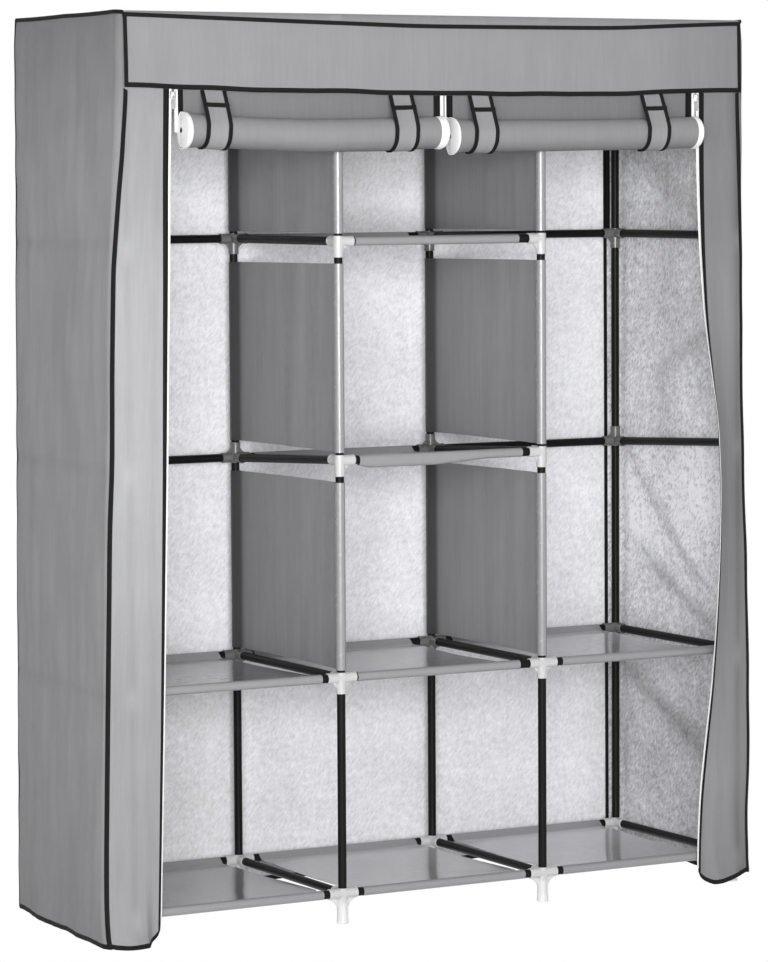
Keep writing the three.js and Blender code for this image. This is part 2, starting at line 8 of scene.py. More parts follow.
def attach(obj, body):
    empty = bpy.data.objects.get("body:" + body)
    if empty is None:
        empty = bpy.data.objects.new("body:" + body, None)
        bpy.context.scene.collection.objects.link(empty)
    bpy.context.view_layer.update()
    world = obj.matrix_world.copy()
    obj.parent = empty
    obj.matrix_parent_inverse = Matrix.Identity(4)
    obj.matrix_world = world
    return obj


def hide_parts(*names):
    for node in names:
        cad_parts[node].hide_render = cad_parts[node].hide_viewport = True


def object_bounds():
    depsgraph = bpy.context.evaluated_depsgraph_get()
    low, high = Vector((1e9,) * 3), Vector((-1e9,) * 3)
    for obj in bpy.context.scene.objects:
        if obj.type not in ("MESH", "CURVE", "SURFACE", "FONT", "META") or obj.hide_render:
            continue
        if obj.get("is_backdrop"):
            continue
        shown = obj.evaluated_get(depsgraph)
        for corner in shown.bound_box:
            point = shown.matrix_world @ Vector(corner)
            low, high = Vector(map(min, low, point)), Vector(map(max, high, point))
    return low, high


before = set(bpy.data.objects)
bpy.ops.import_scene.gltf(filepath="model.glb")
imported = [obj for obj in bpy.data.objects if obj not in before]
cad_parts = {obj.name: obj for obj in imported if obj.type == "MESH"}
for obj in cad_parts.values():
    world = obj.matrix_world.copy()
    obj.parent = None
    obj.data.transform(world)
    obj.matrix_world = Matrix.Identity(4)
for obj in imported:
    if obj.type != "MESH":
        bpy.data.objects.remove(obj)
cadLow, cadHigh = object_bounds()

# A portable wardrobe: cloth cover, shelves and partitions on a push-fit tube frame, doors rolled up.
# All sizes are in millimetres, and meshes are scaled to metres when they are made.
mm = 0.001

wardrobe = {
    "postX": (-615, -205, 205, 615),
    "frontY": -186.575,
    "backY": 213.425,
    "levelZ": (53, 433, 813, 1193, 1573),
    "flippedLevel": 2,  # its back connectors stand the other way up
    "flipDrop": 18.5,
    "armReach": 28,
    "columns": ("left", "centre", "right"),
    "levels": ("bottom", "lower", "middle", "upper", "top"),
    "frames": ("frame_left", "frame_centre_left", "frame_centre_right", "frame_right"),
}
frameDepth = wardrobe["backY"] - wardrobe["frontY"]
columnPitch = wardrobe["postX"][1] - wardrobe["postX"][0]
topLevel = len(wardrobe["levelZ"]) - 1
cover = {
    "halfWidth": 624.9,  # inner face at the top
    "backY": 241.425,
    "roofZ": 1582.9,
    "valanceZ": 1450.9,
    "hemZ": 3,
    "stripWidth": 92,
    "tapeWidth": 3.5,
    "chainWidth": 4,
    "chainFlare": {-1: 34, 1: 0},  # how far a strip's edge leans outwards at the floor
    "cloth": 0.9,
    "underRoof": 0.6,  # the panels end this far below the roof
    "binding": 8.4,
    "edgeBinding": 11.5,
    "bindingThickness": 3.0,
    "stitchInset": 1.9,  # from a binding's middle line towards the cloth
    "stitchHeight": 1.25,
    "tapeLap": 9,  # how far a zip's tape reaches under the binding
    "tapeThickness": 0.8,
    "tapeBack": 0.35,
    "zipLow": 26,  # where the zips' tapes start, and how far they reach up behind the valance
    "zipLap": 14,
}
zipWidth = cover["tapeWidth"] + cover["chainWidth"]


def axisHeight(row, level):
    drop = wardrobe["flipDrop"] if row == 1 and level == wardrobe["flippedLevel"] else 0
    return wardrobe["levelZ"][level] - drop


def rowPlace(row):
    return wardrobe["backY"] if row else wardrobe["frontY"]


def hasRail(row, level, column):
    return level in (0, 1, topLevel) or row == 1 or column == 1


# Shapes: dictionaries of points, faces, the cloth coordinates of their corners and material numbers


def newShape():
    return {"points": [], "faces": [], "uvs": [], "slots": []}


def addShape(target, source):
    start = len(target["points"])
    target["points"].extend(source["points"])
    target["faces"].extend([tuple(i + start for i in face) for face in source["faces"]])
    target["uvs"].extend(source["uvs"])
    target["slots"].extend(source["slots"])
    return target


def joinShapes(shapes):
    whole = newShape()
    for shape in shapes:
        addShape(whole, shape)
    return whole


def signedVolume(shape):
    points = np.array(shape["points"], float)
    total = 0.0
    for face in shape["faces"]:
        first = points[face[0]]
        for i in range(1, len(face) - 1):
            total += np.dot(first, np.cross(points[face[i]], points[face[i + 1]]))
    return total / 6


def facedOut(shape):
    if signedVolume(shape) < 0:
        shape["faces"] = [tuple(reversed(face)) for face in shape["faces"]]
        shape["uvs"] = [list(reversed(corners)) for corners in shape["uvs"]]
    return shape


def unit(vectors):
    return vectors / np.linalg.norm(vectors, axis=-1, keepdims=True)


def lengths(path):
    # How far along a line of points each of them lies.
    return np.concatenate([[0], np.cumsum(np.linalg.norm(np.diff(path, axis=0), axis=1))])


def gridFaces(rows, columns, start, uvs, slot, loopColumns=False, flip=False):
    faces, corners = [], []
    for j in range(rows - 1):
        for i in range(columns - 1 + (1 if loopColumns else 0)):
            k = (i + 1) % columns
            face = [j * columns + i, j * columns + k, (j + 1) * columns + k, (j + 1) * columns + i]
            # a loop's last face ends one step beyond the last column's coordinate
            places = [(j, i), (j, i + 1), (j + 1, i + 1), (j + 1, i)]
            corner = [uvs(*place) for place in places]
            if flip:
                face.reverse()
                corner.reverse()
            faces.append(tuple(start + f for f in face))
            corners.append(corner)
    return faces, corners, [slot] * len(faces)


def surfaceNormals(grid):
    alongRows = np.gradient(grid, axis=0)
    alongColumns = np.gradient(grid, axis=1)
    normals = np.cross(alongColumns, alongRows)
    return normals / np.maximum(np.linalg.norm(normals, axis=2, keepdims=True), 1e-9)


def sheetShape(grid, uAt, vAt, thickness, outSlot=0, inSlot=1, side=1, rimSlot=None):
    # A closed sheet between the grid's surface, which is its outer face, and one that lies inside it.
    rows, columns = grid.shape[:2]
    normals = surfaceNormals(grid) * side
    # thickness is one number, or one for each column
    inner = grid - normals * np.broadcast_to(thickness, (rows, columns))[:, :, None]
    shape = newShape()
    shape["points"] = [tuple(p) for p in grid.reshape(-1, 3)] + [tuple(p) for p in inner.reshape(-1, 3)]

    def uvs(j, i):
        return uAt[min(i, columns - 1)] * mm, vAt[min(j, rows - 1)] * mm

    layer = rows * columns
    for start, slot, flip in ((0, outSlot, False), (layer, inSlot, True)):
        faces, corners, slots = gridFaces(rows, columns, start, uvs, slot, flip=flip)
        shape["faces"] += faces
        shape["uvs"] += corners
        shape["slots"] += slots
    rim = [(j, 0) for j in range(rows)] + [(rows - 1, i) for i in range(1, columns)] \
        + [(j, columns - 1) for j in range(rows - 2, -1, -1)] + [(0, i) for i in range(columns - 2, 0, -1)]
    for here, there in zip(rim, rim[1:] + rim[:1]):
        a, b = here[0] * columns + here[1], there[0] * columns + there[1]
        shape["faces"].append((a, b, layer + b, layer + a))
        shape["uvs"].append([uvs(*here), uvs(*there), uvs(*there), uvs(*here)])
        shape["slots"].append(outSlot if rimSlot is None else rimSlot)
    return facedOut(shape)


def paintColumns(shape, rows, columns, layer, test, slot):
    start = layer * (rows - 1) * (columns - 1)
    for j in range(rows - 1):
        for i in range(columns - 1):
            if test(i):
                shape["slots"][start + j * (columns - 1) + i] = slot


def sweepShape(path, sideways, outward, profile):
    # A solid that carries a closed outline along a path. sideways and outward are its axes at each point.
    path, sideways, outward = (np.asarray(a, float) for a in (path, sideways, outward))
    profile = np.asarray(profile, float)
    if sideways.ndim == 1:
        sideways = np.tile(sideways, (len(path), 1))
    if outward.ndim == 1:
        outward = np.tile(outward, (len(path), 1))
    along = lengths(path)
    around = lengths(np.vstack([profile, profile[:1]]))
    grid = path[:, None] + profile[None, :, :1] * sideways[:, None] + profile[None, :, 1:] * outward[:, None]
    rows, columns = grid.shape[:2]
    shape = newShape()
    shape["points"] = [tuple(p) for p in grid.reshape(-1, 3)]

    def uvs(j, i):
        return around[i] * mm, along[j] * mm

    shape["faces"], shape["uvs"], shape["slots"] = gridFaces(rows, columns, 0, uvs, 0, loopColumns=True)
    for row, order in ((0, -1), (rows - 1, 1)):
        shape["faces"].append(tuple(row * columns + i for i in range(columns))[::order])
        shape["uvs"].append([uvs(row, i) for i in range(columns)][::order])
        shape["slots"].append(0)
    return facedOut(shape)


def pathFrames(path):
    # Axes that turn as little as they can along a path.
    path = np.asarray(path, float)
    tangents = unit(np.gradient(path, axis=0))
    start = np.array([0, 0, 1.0]) if abs(tangents[0][2]) < 0.9 else np.array([1.0, 0, 0])
    side = np.cross(tangents[0], start)
    sides = []
    for tangent in tangents:
        side = side - tangent * np.dot(side, tangent)
        side /= np.linalg.norm(side)
        sides.append(side.copy())
    sides = np.array(sides)
    return sides, np.cross(tangents, sides)


def circle(radius, sides):
    turn = np.arange(sides) * 2 * math.pi / sides
    return np.stack([np.cos(turn), np.sin(turn)], axis=1) * radius


def flatOval(width, thickness, sides=12):
    # A flattened outline whose corners are rounded, as a folded tape has.
    turn = np.arange(sides) * 2 * math.pi / sides + math.pi / sides
    x, y = np.cos(turn), np.sin(turn)
    across = np.sign(x) * np.abs(x) ** 0.55 * width / 2
    return np.stack([across, np.sign(y) * np.abs(y) ** 0.8 * thickness / 2], 1)


def latheShape(outline, origin, direction, sides=32):
    # Turns an outline of (radius, distance) round an axis. It starts and ends on the axis.
    direction = np.asarray(direction, float) / np.linalg.norm(direction)
    helper = np.array([0, 0, 1.0]) if abs(direction[2]) < 0.9 else np.array([1.0, 0, 0])
    sideways = np.cross(direction, helper)
    sideways /= np.linalg.norm(sideways)
    outward = np.cross(direction, sideways)
    origin = np.asarray(origin, float)
    shape = newShape()
    rings = []
    for radius, distance in outline:
        at = origin + direction * distance
        if radius < 1e-6:
            rings.append([len(shape["points"])] * sides)
            shape["points"].append(tuple(at))
        else:
            start = len(shape["points"])
            for c, s in circle(radius, sides):
                shape["points"].append(tuple(at + sideways * c + outward * s))
            rings.append(list(range(start, start + sides)))
    for low, high, (_, distance) in zip(rings, rings[1:], outline[1:]):
        for i in range(sides):
            k = (i + 1) % sides
            loop = list(dict.fromkeys([low[i], low[k], high[k], high[i]]))
            if len(loop) > 2:
                shape["faces"].append(tuple(loop))
                shape["uvs"].append([(i / sides, distance * mm)] * len(loop))
                shape["slots"].append(0)
    return facedOut(shape)


def plateShape(outline, along, upright, across, half):
    # A flat plate. Its outline gives places along two axes, and half its thickness lies on each side.
    points = [along * a + upright * b + across * s for s in (-half, half) for a, b in outline]
    count = len(outline)
    shape = newShape()
    shape["points"] = [tuple(p) for p in points]
    shape["faces"] = [tuple(range(count)), tuple(range(2 * count - 1, count - 1, -1))]
    shape["faces"] += [(i, count + i, count + (i + 1) % count, (i + 1) % count) for i in range(count)]
    shape["uvs"] = [[(0, 0)] * len(face) for face in shape["faces"]]
    shape["slots"] = [0] * len(shape["faces"])
    return facedOut(shape)


def makePiece(name, shape, materials, sharpAngle=40):
    mesh = bpy.data.meshes.new(name)
    points = [(x * mm, y * mm, z * mm) for x, y, z in shape["points"]]
    mesh.from_pydata(points, [], shape["faces"])
    layer = mesh.uv_layers.new(name="cloth")
    layer.data.foreach_set("uv", np.array([c for face in shape["uvs"] for c in face], np.float32).ravel())
    mesh.polygons.foreach_set("material_index", shape["slots"])
    mesh.polygons.foreach_set("use_smooth", [True] * len(mesh.polygons))
    for material in materials:
        mesh.materials.append(material)
    mesh.update()
    mesh.set_sharp_from_angle(angle=math.radians(sharpAngle))
    piece = bpy.data.objects.new(name, mesh)
    bpy.context.scene.collection.objects.link(piece)
    return piece


def setPaintedShading(piece, tone):
    # Painted light and shade: how much lighter or darker the cloth is painted at each point of a sheet, on
    # both of its faces.
    attribute = piece.data.attributes.new("tone", "FLOAT", "POINT")
    attribute.data.foreach_set("value", np.tile(np.asarray(tone, np.float32).ravel(), 2))


def ripples(u, v, seed, count, waveRange, height):
    # Smooth uneven waves: a fixed sum of sines in many directions.
    source = np.random.default_rng(seed)
    total = np.zeros(np.broadcast(u, v).shape)
    for _ in range(count):
        wave = source.uniform(*waveRange)
        angle = source.uniform(0, math.pi)
        phase = source.uniform(0, 2 * math.pi)
        total += np.sin(2 * math.pi * (u * math.cos(angle) + v * math.sin(angle)) / wave + phase)
    return total * height / math.sqrt(count)


def bump(value, centre, width):
    return np.exp(-((value - centre) / width) ** 2)


def follow(table, value):
    # Reads a line given as (place, value) pairs.
    places, values = zip(*table)
    return np.interp(value, places, values)


def smoothed(table, value, reach=30):
    # A table's line with its corners rounded off.
    return sum(follow(table, value + reach * step / 3) for step in range(-3, 4)) / 7


print("Shapes ready")

# Shader helpers and the effects that several finishes share


def addNode(tree, kind, inputs=None, **settings):
    item = tree.nodes.new(kind)
    for name, value in settings.items():
        setattr(item, name, value)
    for key, value in (inputs or {}).items():
        if isinstance(value, bpy.types.NodeSocket):
            tree.links.new(value, item.inputs[key])
        else:
            item.inputs[key].default_value = value
    return item


def maths(tree, operation, a, b):
    return addNode(tree, "ShaderNodeMath", {0: a, 1: b}, operation=operation).outputs[0]


def spread(tree, value, fromLow, fromHigh, toLow=0.0, toHigh=1.0):
    inputs = {"Value": value, "From Min": fromLow, "From Max": fromHigh, "To Min": toLow, "To Max": toHigh}
    return addNode(tree, "ShaderNodeMapRange", inputs, interpolation_type="SMOOTHSTEP").outputs["Result"]


def stretched(tree, vector, scale):
    return addNode(tree, "ShaderNodeVectorMath", {0: vector, 1: scale}, operation="MULTIPLY").outputs[0]


def scaled(tree, colour, amount):
    return addNode(tree, "ShaderNodeVectorMath", {0: colour, "Scale": amount}, operation="SCALE").outputs[0]


def noise(tree, vector, scale, detail, roughness):
    inputs = {"Vector": vector, "Scale": scale, "Detail": detail, "Roughness": roughness}
    return addNode(tree, "ShaderNodeTexNoise", inputs).outputs["Fac"]


def newGroup(name, inputs, outputs):
    group = bpy.data.node_groups.new(name, "ShaderNodeTree")
    kinds = {"float": "NodeSocketFloat", "vector": "NodeSocketVector", "colour": "NodeSocketColor"}
    for label, kind, value in inputs:
        socket = group.interface.new_socket(label, in_out="INPUT", socket_type=kinds[kind])
        if value is not None:
            socket.default_value = value
    for label, kind in outputs:
        group.interface.new_socket(label, in_out="OUTPUT", socket_type=kinds[kind])
    return group, group.nodes.new("NodeGroupInput"), group.nodes.new("NodeGroupOutput")


def grey(value):
    return (value, value, value, 1)


def buildClothWeb():
    # Bonded fibres: cloudy patches, fine fibres and a grid of pressed points.
    group, given, result = newGroup("clothWeb", [
        ("Place", "vector", None), ("Shade", "colour", grey(0.4)), ("Mottle", "float", 0.2),
        ("Streaks", "float", 0.1), ("Points", "float", 0.3), ("Fibres", "float", 0.2),
        ("Flecks", "float", 0.0), ("Tone", "float", 0.0),
    ], [("Color", "colour"), ("Roughness", "float"), ("Height", "float")])
    place = given.outputs["Place"]
    cloudy = noise(group, place, 55, 4, 0.62)
    broad = noise(group, place, 9, 2, 0.5)
    fibres = noise(group, stretched(group, place, (1.0, 0.35, 1.0)), 900, 3, 0.7)
    threads = noise(group, stretched(group, place, (1.0, 0.06, 1.0)), 160, 3, 0.6)
    streaks = noise(group, stretched(group, place, (1.0, 0.035, 1.0)), 42, 3, 0.55)
    turned = addNode(group, "ShaderNodeVectorRotate", {"Vector": place, "Angle": 0.6}, rotation_type="Z_AXIS")
    lattice = addNode(group, "ShaderNodeTexVoronoi", {"Vector": place, "Scale": 620.0, "Randomness": 0.15})
    points = spread(group, lattice.outputs["Distance"], 0.18, 0.42, 1.0, 0.0)
    mottle = maths(group, "SUBTRACT", maths(group, "ADD", cloudy, maths(group, "MULTIPLY", broad, 0.6)), 0.8)
    value = maths(group, "MULTIPLY", mottle, given.outputs["Mottle"])
    fine = maths(group, "SUBTRACT", maths(group, "ADD", fibres, threads), 1.0)
    value = maths(group, "ADD", value, maths(group, "MULTIPLY", fine, given.outputs["Fibres"]))
    streaky = maths(group, "MULTIPLY", maths(group, "SUBTRACT", streaks, 0.5), given.outputs["Streaks"])
    value = maths(group, "ADD", value, streaky)
    dents = maths(group, "MULTIPLY", points, given.outputs["Points"])
    value = maths(group, "SUBTRACT", value, maths(group, "MULTIPLY", dents, 0.22))
    flecks = noise(group, stretched(group, turned.outputs["Vector"], (1.0, 0.45, 1.0)), 210, 3, 0.65)
    fleck = maths(group, "MULTIPLY", maths(group, "SUBTRACT", flecks, 0.5), given.outputs["Flecks"])
    value = maths(group, "ADD", value, fleck)
    # the sheet's painted light and shade
    toned = maths(group, "ADD", given.outputs["Tone"], 1.0)
    lit = maths(group, "MULTIPLY", maths(group, "ADD", value, 1.0), toned)
    group.links.new(scaled(group, given.outputs["Shade"], lit), result.inputs["Color"])
    group.links.new(spread(group, cloudy, 0.3, 0.7, 0.0, 1.0), result.inputs["Roughness"])
    pressed = maths(group, "MULTIPLY", points, 0.7)
    relief = maths(group, "SUBTRACT", maths(group, "MULTIPLY", fibres, 0.6), pressed)
    relief = maths(group, "ADD", relief, maths(group, "MULTIPLY", streaks, 0.5))
    group.links.new(relief, result.inputs["Height"])
    return group


def buildTapeRib():
    # Woven tape: ribs across its width and a fine weave.
    group, given, result = newGroup("tapeRib", [
        ("Place", "vector", None), ("Shade", "colour", grey(0.1)), ("Ribs", "float", 700.0),
        ("Contrast", "float", 0.3),
    ], [("Color", "colour"), ("Height", "float")])
    place = given.outputs["Place"]
    ribs = addNode(group, "ShaderNodeTexWave", {
        "Vector": place, "Scale": given.outputs["Ribs"], "Distortion": 1.2, "Detail": 1.0,
        "Detail Scale": 2.0,
    }, bands_direction="Y").outputs["Fac"]
    weave = noise(group, place, 1400, 2, 0.6)
    wear = noise(group, place, 26, 3, 0.6)
    value = maths(group, "ADD", maths(group, "MULTIPLY", ribs, 0.6), maths(group, "MULTIPLY", weave, 0.5))
    value = maths(group, "ADD", value, maths(group, "MULTIPLY", wear, 0.7))
    value = maths(group, "MULTIPLY", maths(group, "SUBTRACT", value, 0.9), given.outputs["Contrast"])
    lit = maths(group, "ADD", value, 1.0)
    group.links.new(scaled(group, given.outputs["Shade"], lit), result.inputs["Color"])
    group.links.new(maths(group, "ADD", ribs, maths(group, "MULTIPLY", weave, 0.4)), result.inputs["Height"])
    return group


def buildSurfaceWear():
    # What a hard finish shows up close: cloudy tone, fine orange peel and a few scuffs.
    group, given, result = newGroup("surfaceWear", [
        ("Place", "vector", None), ("Shade", "colour", grey(0.1)), ("Clouds", "float", 0.1),
        ("Scuffs", "float", 0.2), ("Grain", "float", 900.0),
    ], [("Color", "colour"), ("Roughness", "float"), ("Height", "float")])
    place = given.outputs["Place"]
    clouds = noise(group, place, 14, 3, 0.6)
    grain = noise(group, place, given.outputs["Grain"], 2, 0.5)
    scuffs = spread(group, noise(group, stretched(group, place, (1.0, 1.0, 0.3)), 120, 4, 0.7), 0.62, 0.72)
    value = maths(group, "MULTIPLY", maths(group, "SUBTRACT", clouds, 0.5), given.outputs["Clouds"])
    marks = maths(group, "MULTIPLY", scuffs, given.outputs["Scuffs"])
    lit = maths(group, "ADD", maths(group, "ADD", value, maths(group, "MULTIPLY", marks, 0.5)), 1.0)
    group.links.new(scaled(group, given.outputs["Shade"], lit), result.inputs["Color"])
    rough = maths(group, "ADD", maths(group, "MULTIPLY", clouds, 0.4), marks)
    group.links.new(rough, result.inputs["Roughness"])
    group.links.new(grain, result.inputs["Height"])
    return group


clothWeb = buildClothWeb()
tapeRib = buildTapeRib()
surfaceWear = buildSurfaceWear()


def newMaterial(name, group, values, finish, roughness, relief, onCloth=True):
    # A Principled finish fed by a shared group. roughness is its range, relief its bumps' height in metres.
    material = bpy.data.materials.new(name)
    material.use_nodes = True
    tree = material.node_tree
    shader = tree.nodes["Principled BSDF"]
    if onCloth:
        place = addNode(tree, "ShaderNodeUVMap", uv_map="cloth").outputs["UV"]
    else:
        place = addNode(tree, "ShaderNodeTexCoord").outputs["Object"]
    effect = addNode(tree, "ShaderNodeGroup", node_tree=group)
    tree.links.new(place, effect.inputs["Place"])
    for key, value in values.items():
        effect.inputs[key].default_value = value
    # painted light and shade, read from the sheet's tone attribute
    if "Tone" in effect.inputs:
        tone = addNode(tree, "ShaderNodeAttribute", attribute_name="tone")
        tree.links.new(tone.outputs["Fac"], effect.inputs["Tone"])
    tree.links.new(effect.outputs["Color"], shader.inputs["Base Color"])
    source = effect.outputs["Roughness"] if "Roughness" in effect.outputs else effect.outputs["Height"]
    tree.links.new(spread(tree, source, 0.0, 1.0, *roughness), shader.inputs["Roughness"])
    bump = addNode(tree, "ShaderNodeBump", {
        "Height": effect.outputs["Height"], "Distance": relief, "Strength": 0.6,
    })
    tree.links.new(bump.outputs["Normal"], shader.inputs["Normal"])
    for key, value in finish.items():
        shader.inputs[key].default_value = value
    material.diffuse_color = (values["Shade"][0] * 0.9,) * 3 + (1,)
    return material


finishes = {
    "coverOuter": 0.30,
    "coverInner": 0.76,
    "backCloth": 0.90,
    # the cover's cloth painted darker for the roll: painted shade
    "shadedRollCloth": 0.25,
    "strapCloth": 0.285,
    "shelfCloth": 0.28,
    "partitionCloth": 0.275,
    "sleeveCloth": 0.27,
    "binding": 0.004,
    "zipTape": 0.92,
    "zipCoil": 0.88,
    "steel": 0.008,
    "plastic": 0.86,
    "shadedBackPlastic": 0.2,
    "stitch": 0.012,
    "metal": 0.52,
}


def clothFinish(name, mottle, streaks, points, fibres, roughness, relief, flecks=0.0, **finish):
    tone = finishes[name]
    values = {
        "Shade": (tone, tone, tone * 1.03, 1), "Mottle": mottle, "Streaks": streaks, "Points": points,
        "Fibres": fibres, "Flecks": flecks,
    }
    return newMaterial(name, clothWeb, values, finish, roughness, relief)


coverOuter = clothFinish("coverOuter", 0.14, 0.08, 0.4, 0.2, (0.72, 0.9), 0.00025)
coverInner = clothFinish("coverInner", 0.9, 0.0, 0.3, 0.3, (0.75, 0.95), 0.0003, flecks=1.7)
backCloth = clothFinish("backCloth", 0.4, 0.0, 0.25, 0.15, (0.75, 0.95), 0.0002, flecks=0.75)
# the roll's cloth: the cover's cloth painted darker, painted shade
shadedRollCloth = clothFinish("shadedRollCloth", 0.16, 0.1, 0.4, 0.2, (0.62, 0.8), 0.00025)
shelfTop = clothFinish("shelfCloth", 0.06, 0.05, 0.1, 0.06, (0.10, 0.17), 0.00002)
partitionSide = clothFinish("partitionCloth", 0.2, 0.4, 0.3, 0.25, (0.32, 0.5), 0.00015)
sleeveCloth = clothFinish("sleeveCloth", 0.1, 0.2, 0.2, 0.1, (0.16, 0.28), 0.00004,
                          **{"Specular IOR Level": 0.75})
strapCloth = clothFinish("strapCloth", 0.2, 0.1, 0.4, 0.25, (0.72, 0.9), 0.00025)


def tapeFinish(name, tone, ribs, contrast, roughness, relief, **finish):
    values = {"Shade": grey(tone), "Ribs": ribs, "Contrast": contrast}
    return newMaterial(name, tapeRib, values, finish, roughness, relief)


blackBinding = tapeFinish("blackBinding", finishes["binding"], 420.0, 0.5, (0.6, 0.8), 0.00025,
                          **{"Specular IOR Level": 0.18})
whiteTape = tapeFinish("whiteTape", finishes["zipTape"], 520.0, 0.22, (0.6, 0.8), 0.0002)


def hardFinish(name, shade, clouds, scuffs, grain, roughness, relief, **finish):
    values = {"Shade": shade, "Clouds": clouds, "Scuffs": scuffs, "Grain": grain}
    return newMaterial(name, surfaceWear, values, finish, roughness, relief, onCloth=False)


steelCoat = hardFinish("blackCoatedSteel", grey(finishes["steel"]), 0.5, 0.4, 700.0, (0.34, 0.5), 0.00006,
                       **{"Specular IOR Level": 0.09})
frostedPlastic = hardFinish("frostedPlastic", grey(finishes["plastic"]), 0.12, 0.05, 500.0, (0.28, 0.42),
                            0.00006, **{"Transmission Weight": 0.45, "Specular IOR Level": 0.4})
# a darker copy of the connectors' plastic for the back row: painted shade
shadedBackPlastic = hardFinish("shadedBackPlastic", grey(finishes["shadedBackPlastic"]), 0.3, 0.1, 500.0, (0.2, 0.34),
                          0.00006, **{"Transmission Weight": 0.35, "Specular IOR Level": 0.5})
zipCoil = hardFinish("zipCoil", grey(finishes["zipCoil"]), 0.1, 0.05, 900.0, (0.3, 0.5), 0.00003)
stitchThread = hardFinish("stitchThread", grey(finishes["stitch"]), 0.3, 0.05, 2000.0, (0.5, 0.7), 0.00005)
zipMetal = hardFinish("zipMetal", grey(finishes["metal"]), 0.3, 0.3, 800.0, (0.22, 0.4), 0.00004,
                      Metallic=0.9)
print("Finishes ready")

# Repeats along a path: stitches and the coil of a zip


def buildRepeat(name, inputs, makeInstance):
    # A tree that resamples an edge path and sets one shape at each point, turned along the path.
    tree = bpy.data.node_groups.new(name, "GeometryNodeTree")
    tree.interface.new_socket("Geometry", in_out="INPUT", socket_type="NodeSocketGeometry")
    for label, value in inputs:
        socket = tree.interface.new_socket(label, in_out="INPUT", socket_type="NodeSocketFloat")
        socket.default_value = value
    tree.interface.new_socket("Material", in_out="INPUT", socket_type="NodeSocketMaterial")
    tree.interface.new_socket("Geometry", in_out="OUTPUT", socket_type="NodeSocketGeometry")
    given = tree.nodes.new("NodeGroupInput")
    result = tree.nodes.new("NodeGroupOutput")
    curve = addNode(tree, "GeometryNodeMeshToCurve", {"Mesh": given.outputs["Geometry"]})
    evenly = addNode(tree, "GeometryNodeResampleCurve", {
        "Curve": curve.outputs["Curve"], "Length": given.outputs["Spacing"],
    }, mode="LENGTH")
    tangent = addNode(tree, "GeometryNodeInputTangent")
    outward = addNode(tree, "GeometryNodeInputNamedAttribute", {"Name": "outward"}, data_type="FLOAT_VECTOR")
    kept = addNode(tree, "GeometryNodeStoreNamedAttribute", {
        "Geometry": evenly.outputs["Curve"], "Name": "along", "Value": tangent.outputs["Tangent"],
    }, data_type="FLOAT_VECTOR", domain="POINT")
    points = addNode(tree, "GeometryNodeCurveToPoints", {"Curve": kept.outputs["Geometry"]}, mode="EVALUATED")
    along = addNode(tree, "GeometryNodeInputNamedAttribute", {"Name": "along"}, data_type="FLOAT_VECTOR")
    first = addNode(tree, "FunctionNodeAlignRotationToVector", {
        "Vector": along.outputs["Attribute"],
    }, axis="X")
    second = addNode(tree, "FunctionNodeAlignRotationToVector", {
        "Rotation": first.outputs["Rotation"], "Vector": outward.outputs["Attribute"],
    }, axis="Z", pivot_axis="X")
    shape = makeInstance(tree, given)
    placed = addNode(tree, "GeometryNodeInstanceOnPoints", {
        "Points": points.outputs["Points"], "Instance": shape, "Rotation": second.outputs["Rotation"],
    })
    real = addNode(tree, "GeometryNodeRealizeInstances", {"Geometry": placed.outputs["Instances"]})
    finished = addNode(tree, "GeometryNodeSetMaterial", {
        "Geometry": real.outputs["Geometry"], "Material": given.outputs["Material"],
    })
    tree.links.new(finished.outputs["Geometry"], result.inputs["Geometry"])
    return tree


def threadShape(tree, given):
    # A short thread that lies along the path and dips at its ends.
    bead = addNode(tree, "GeometryNodeMeshUVSphere", {"Segments": 6, "Rings": 4, "Radius": 0.5})
    size = addNode(tree, "ShaderNodeCombineXYZ", {
        "X": given.outputs["Length"], "Y": given.outputs["Width"], "Z": given.outputs["Width"],
    })
    return addNode(tree, "GeometryNodeTransform", {
        "Geometry": bead.outputs["Mesh"], "Scale": size.outputs["Vector"],
    }).outputs["Geometry"]


def coilShape(tree, given):
    # One turn of the coil: a thin bar across the tape with a slight slant.
    turn = addNode(tree, "GeometryNodeMeshUVSphere", {"Segments": 6, "Rings": 5, "Radius": 0.5})
    size = addNode(tree, "ShaderNodeCombineXYZ", {
        "X": given.outputs["Width"], "Y": given.outputs["Length"], "Z": given.outputs["Height"],
    })
    return addNode(tree, "GeometryNodeTransform", {
        "Geometry": turn.outputs["Mesh"], "Scale": size.outputs["Vector"],
        "Rotation": (0.0, 0.0, math.radians(12)),
    }).outputs["Geometry"]


stitchTree = buildRepeat("stitches", [
    ("Spacing", 0.0035), ("Length", 0.0025), ("Width", 0.0006),
], threadShape)
coilTree = buildRepeat("zipCoilTurns", [
    ("Spacing", 0.0014), ("Length", 0.0034), ("Width", 0.0011), ("Height", 0.0020),
], coilShape)


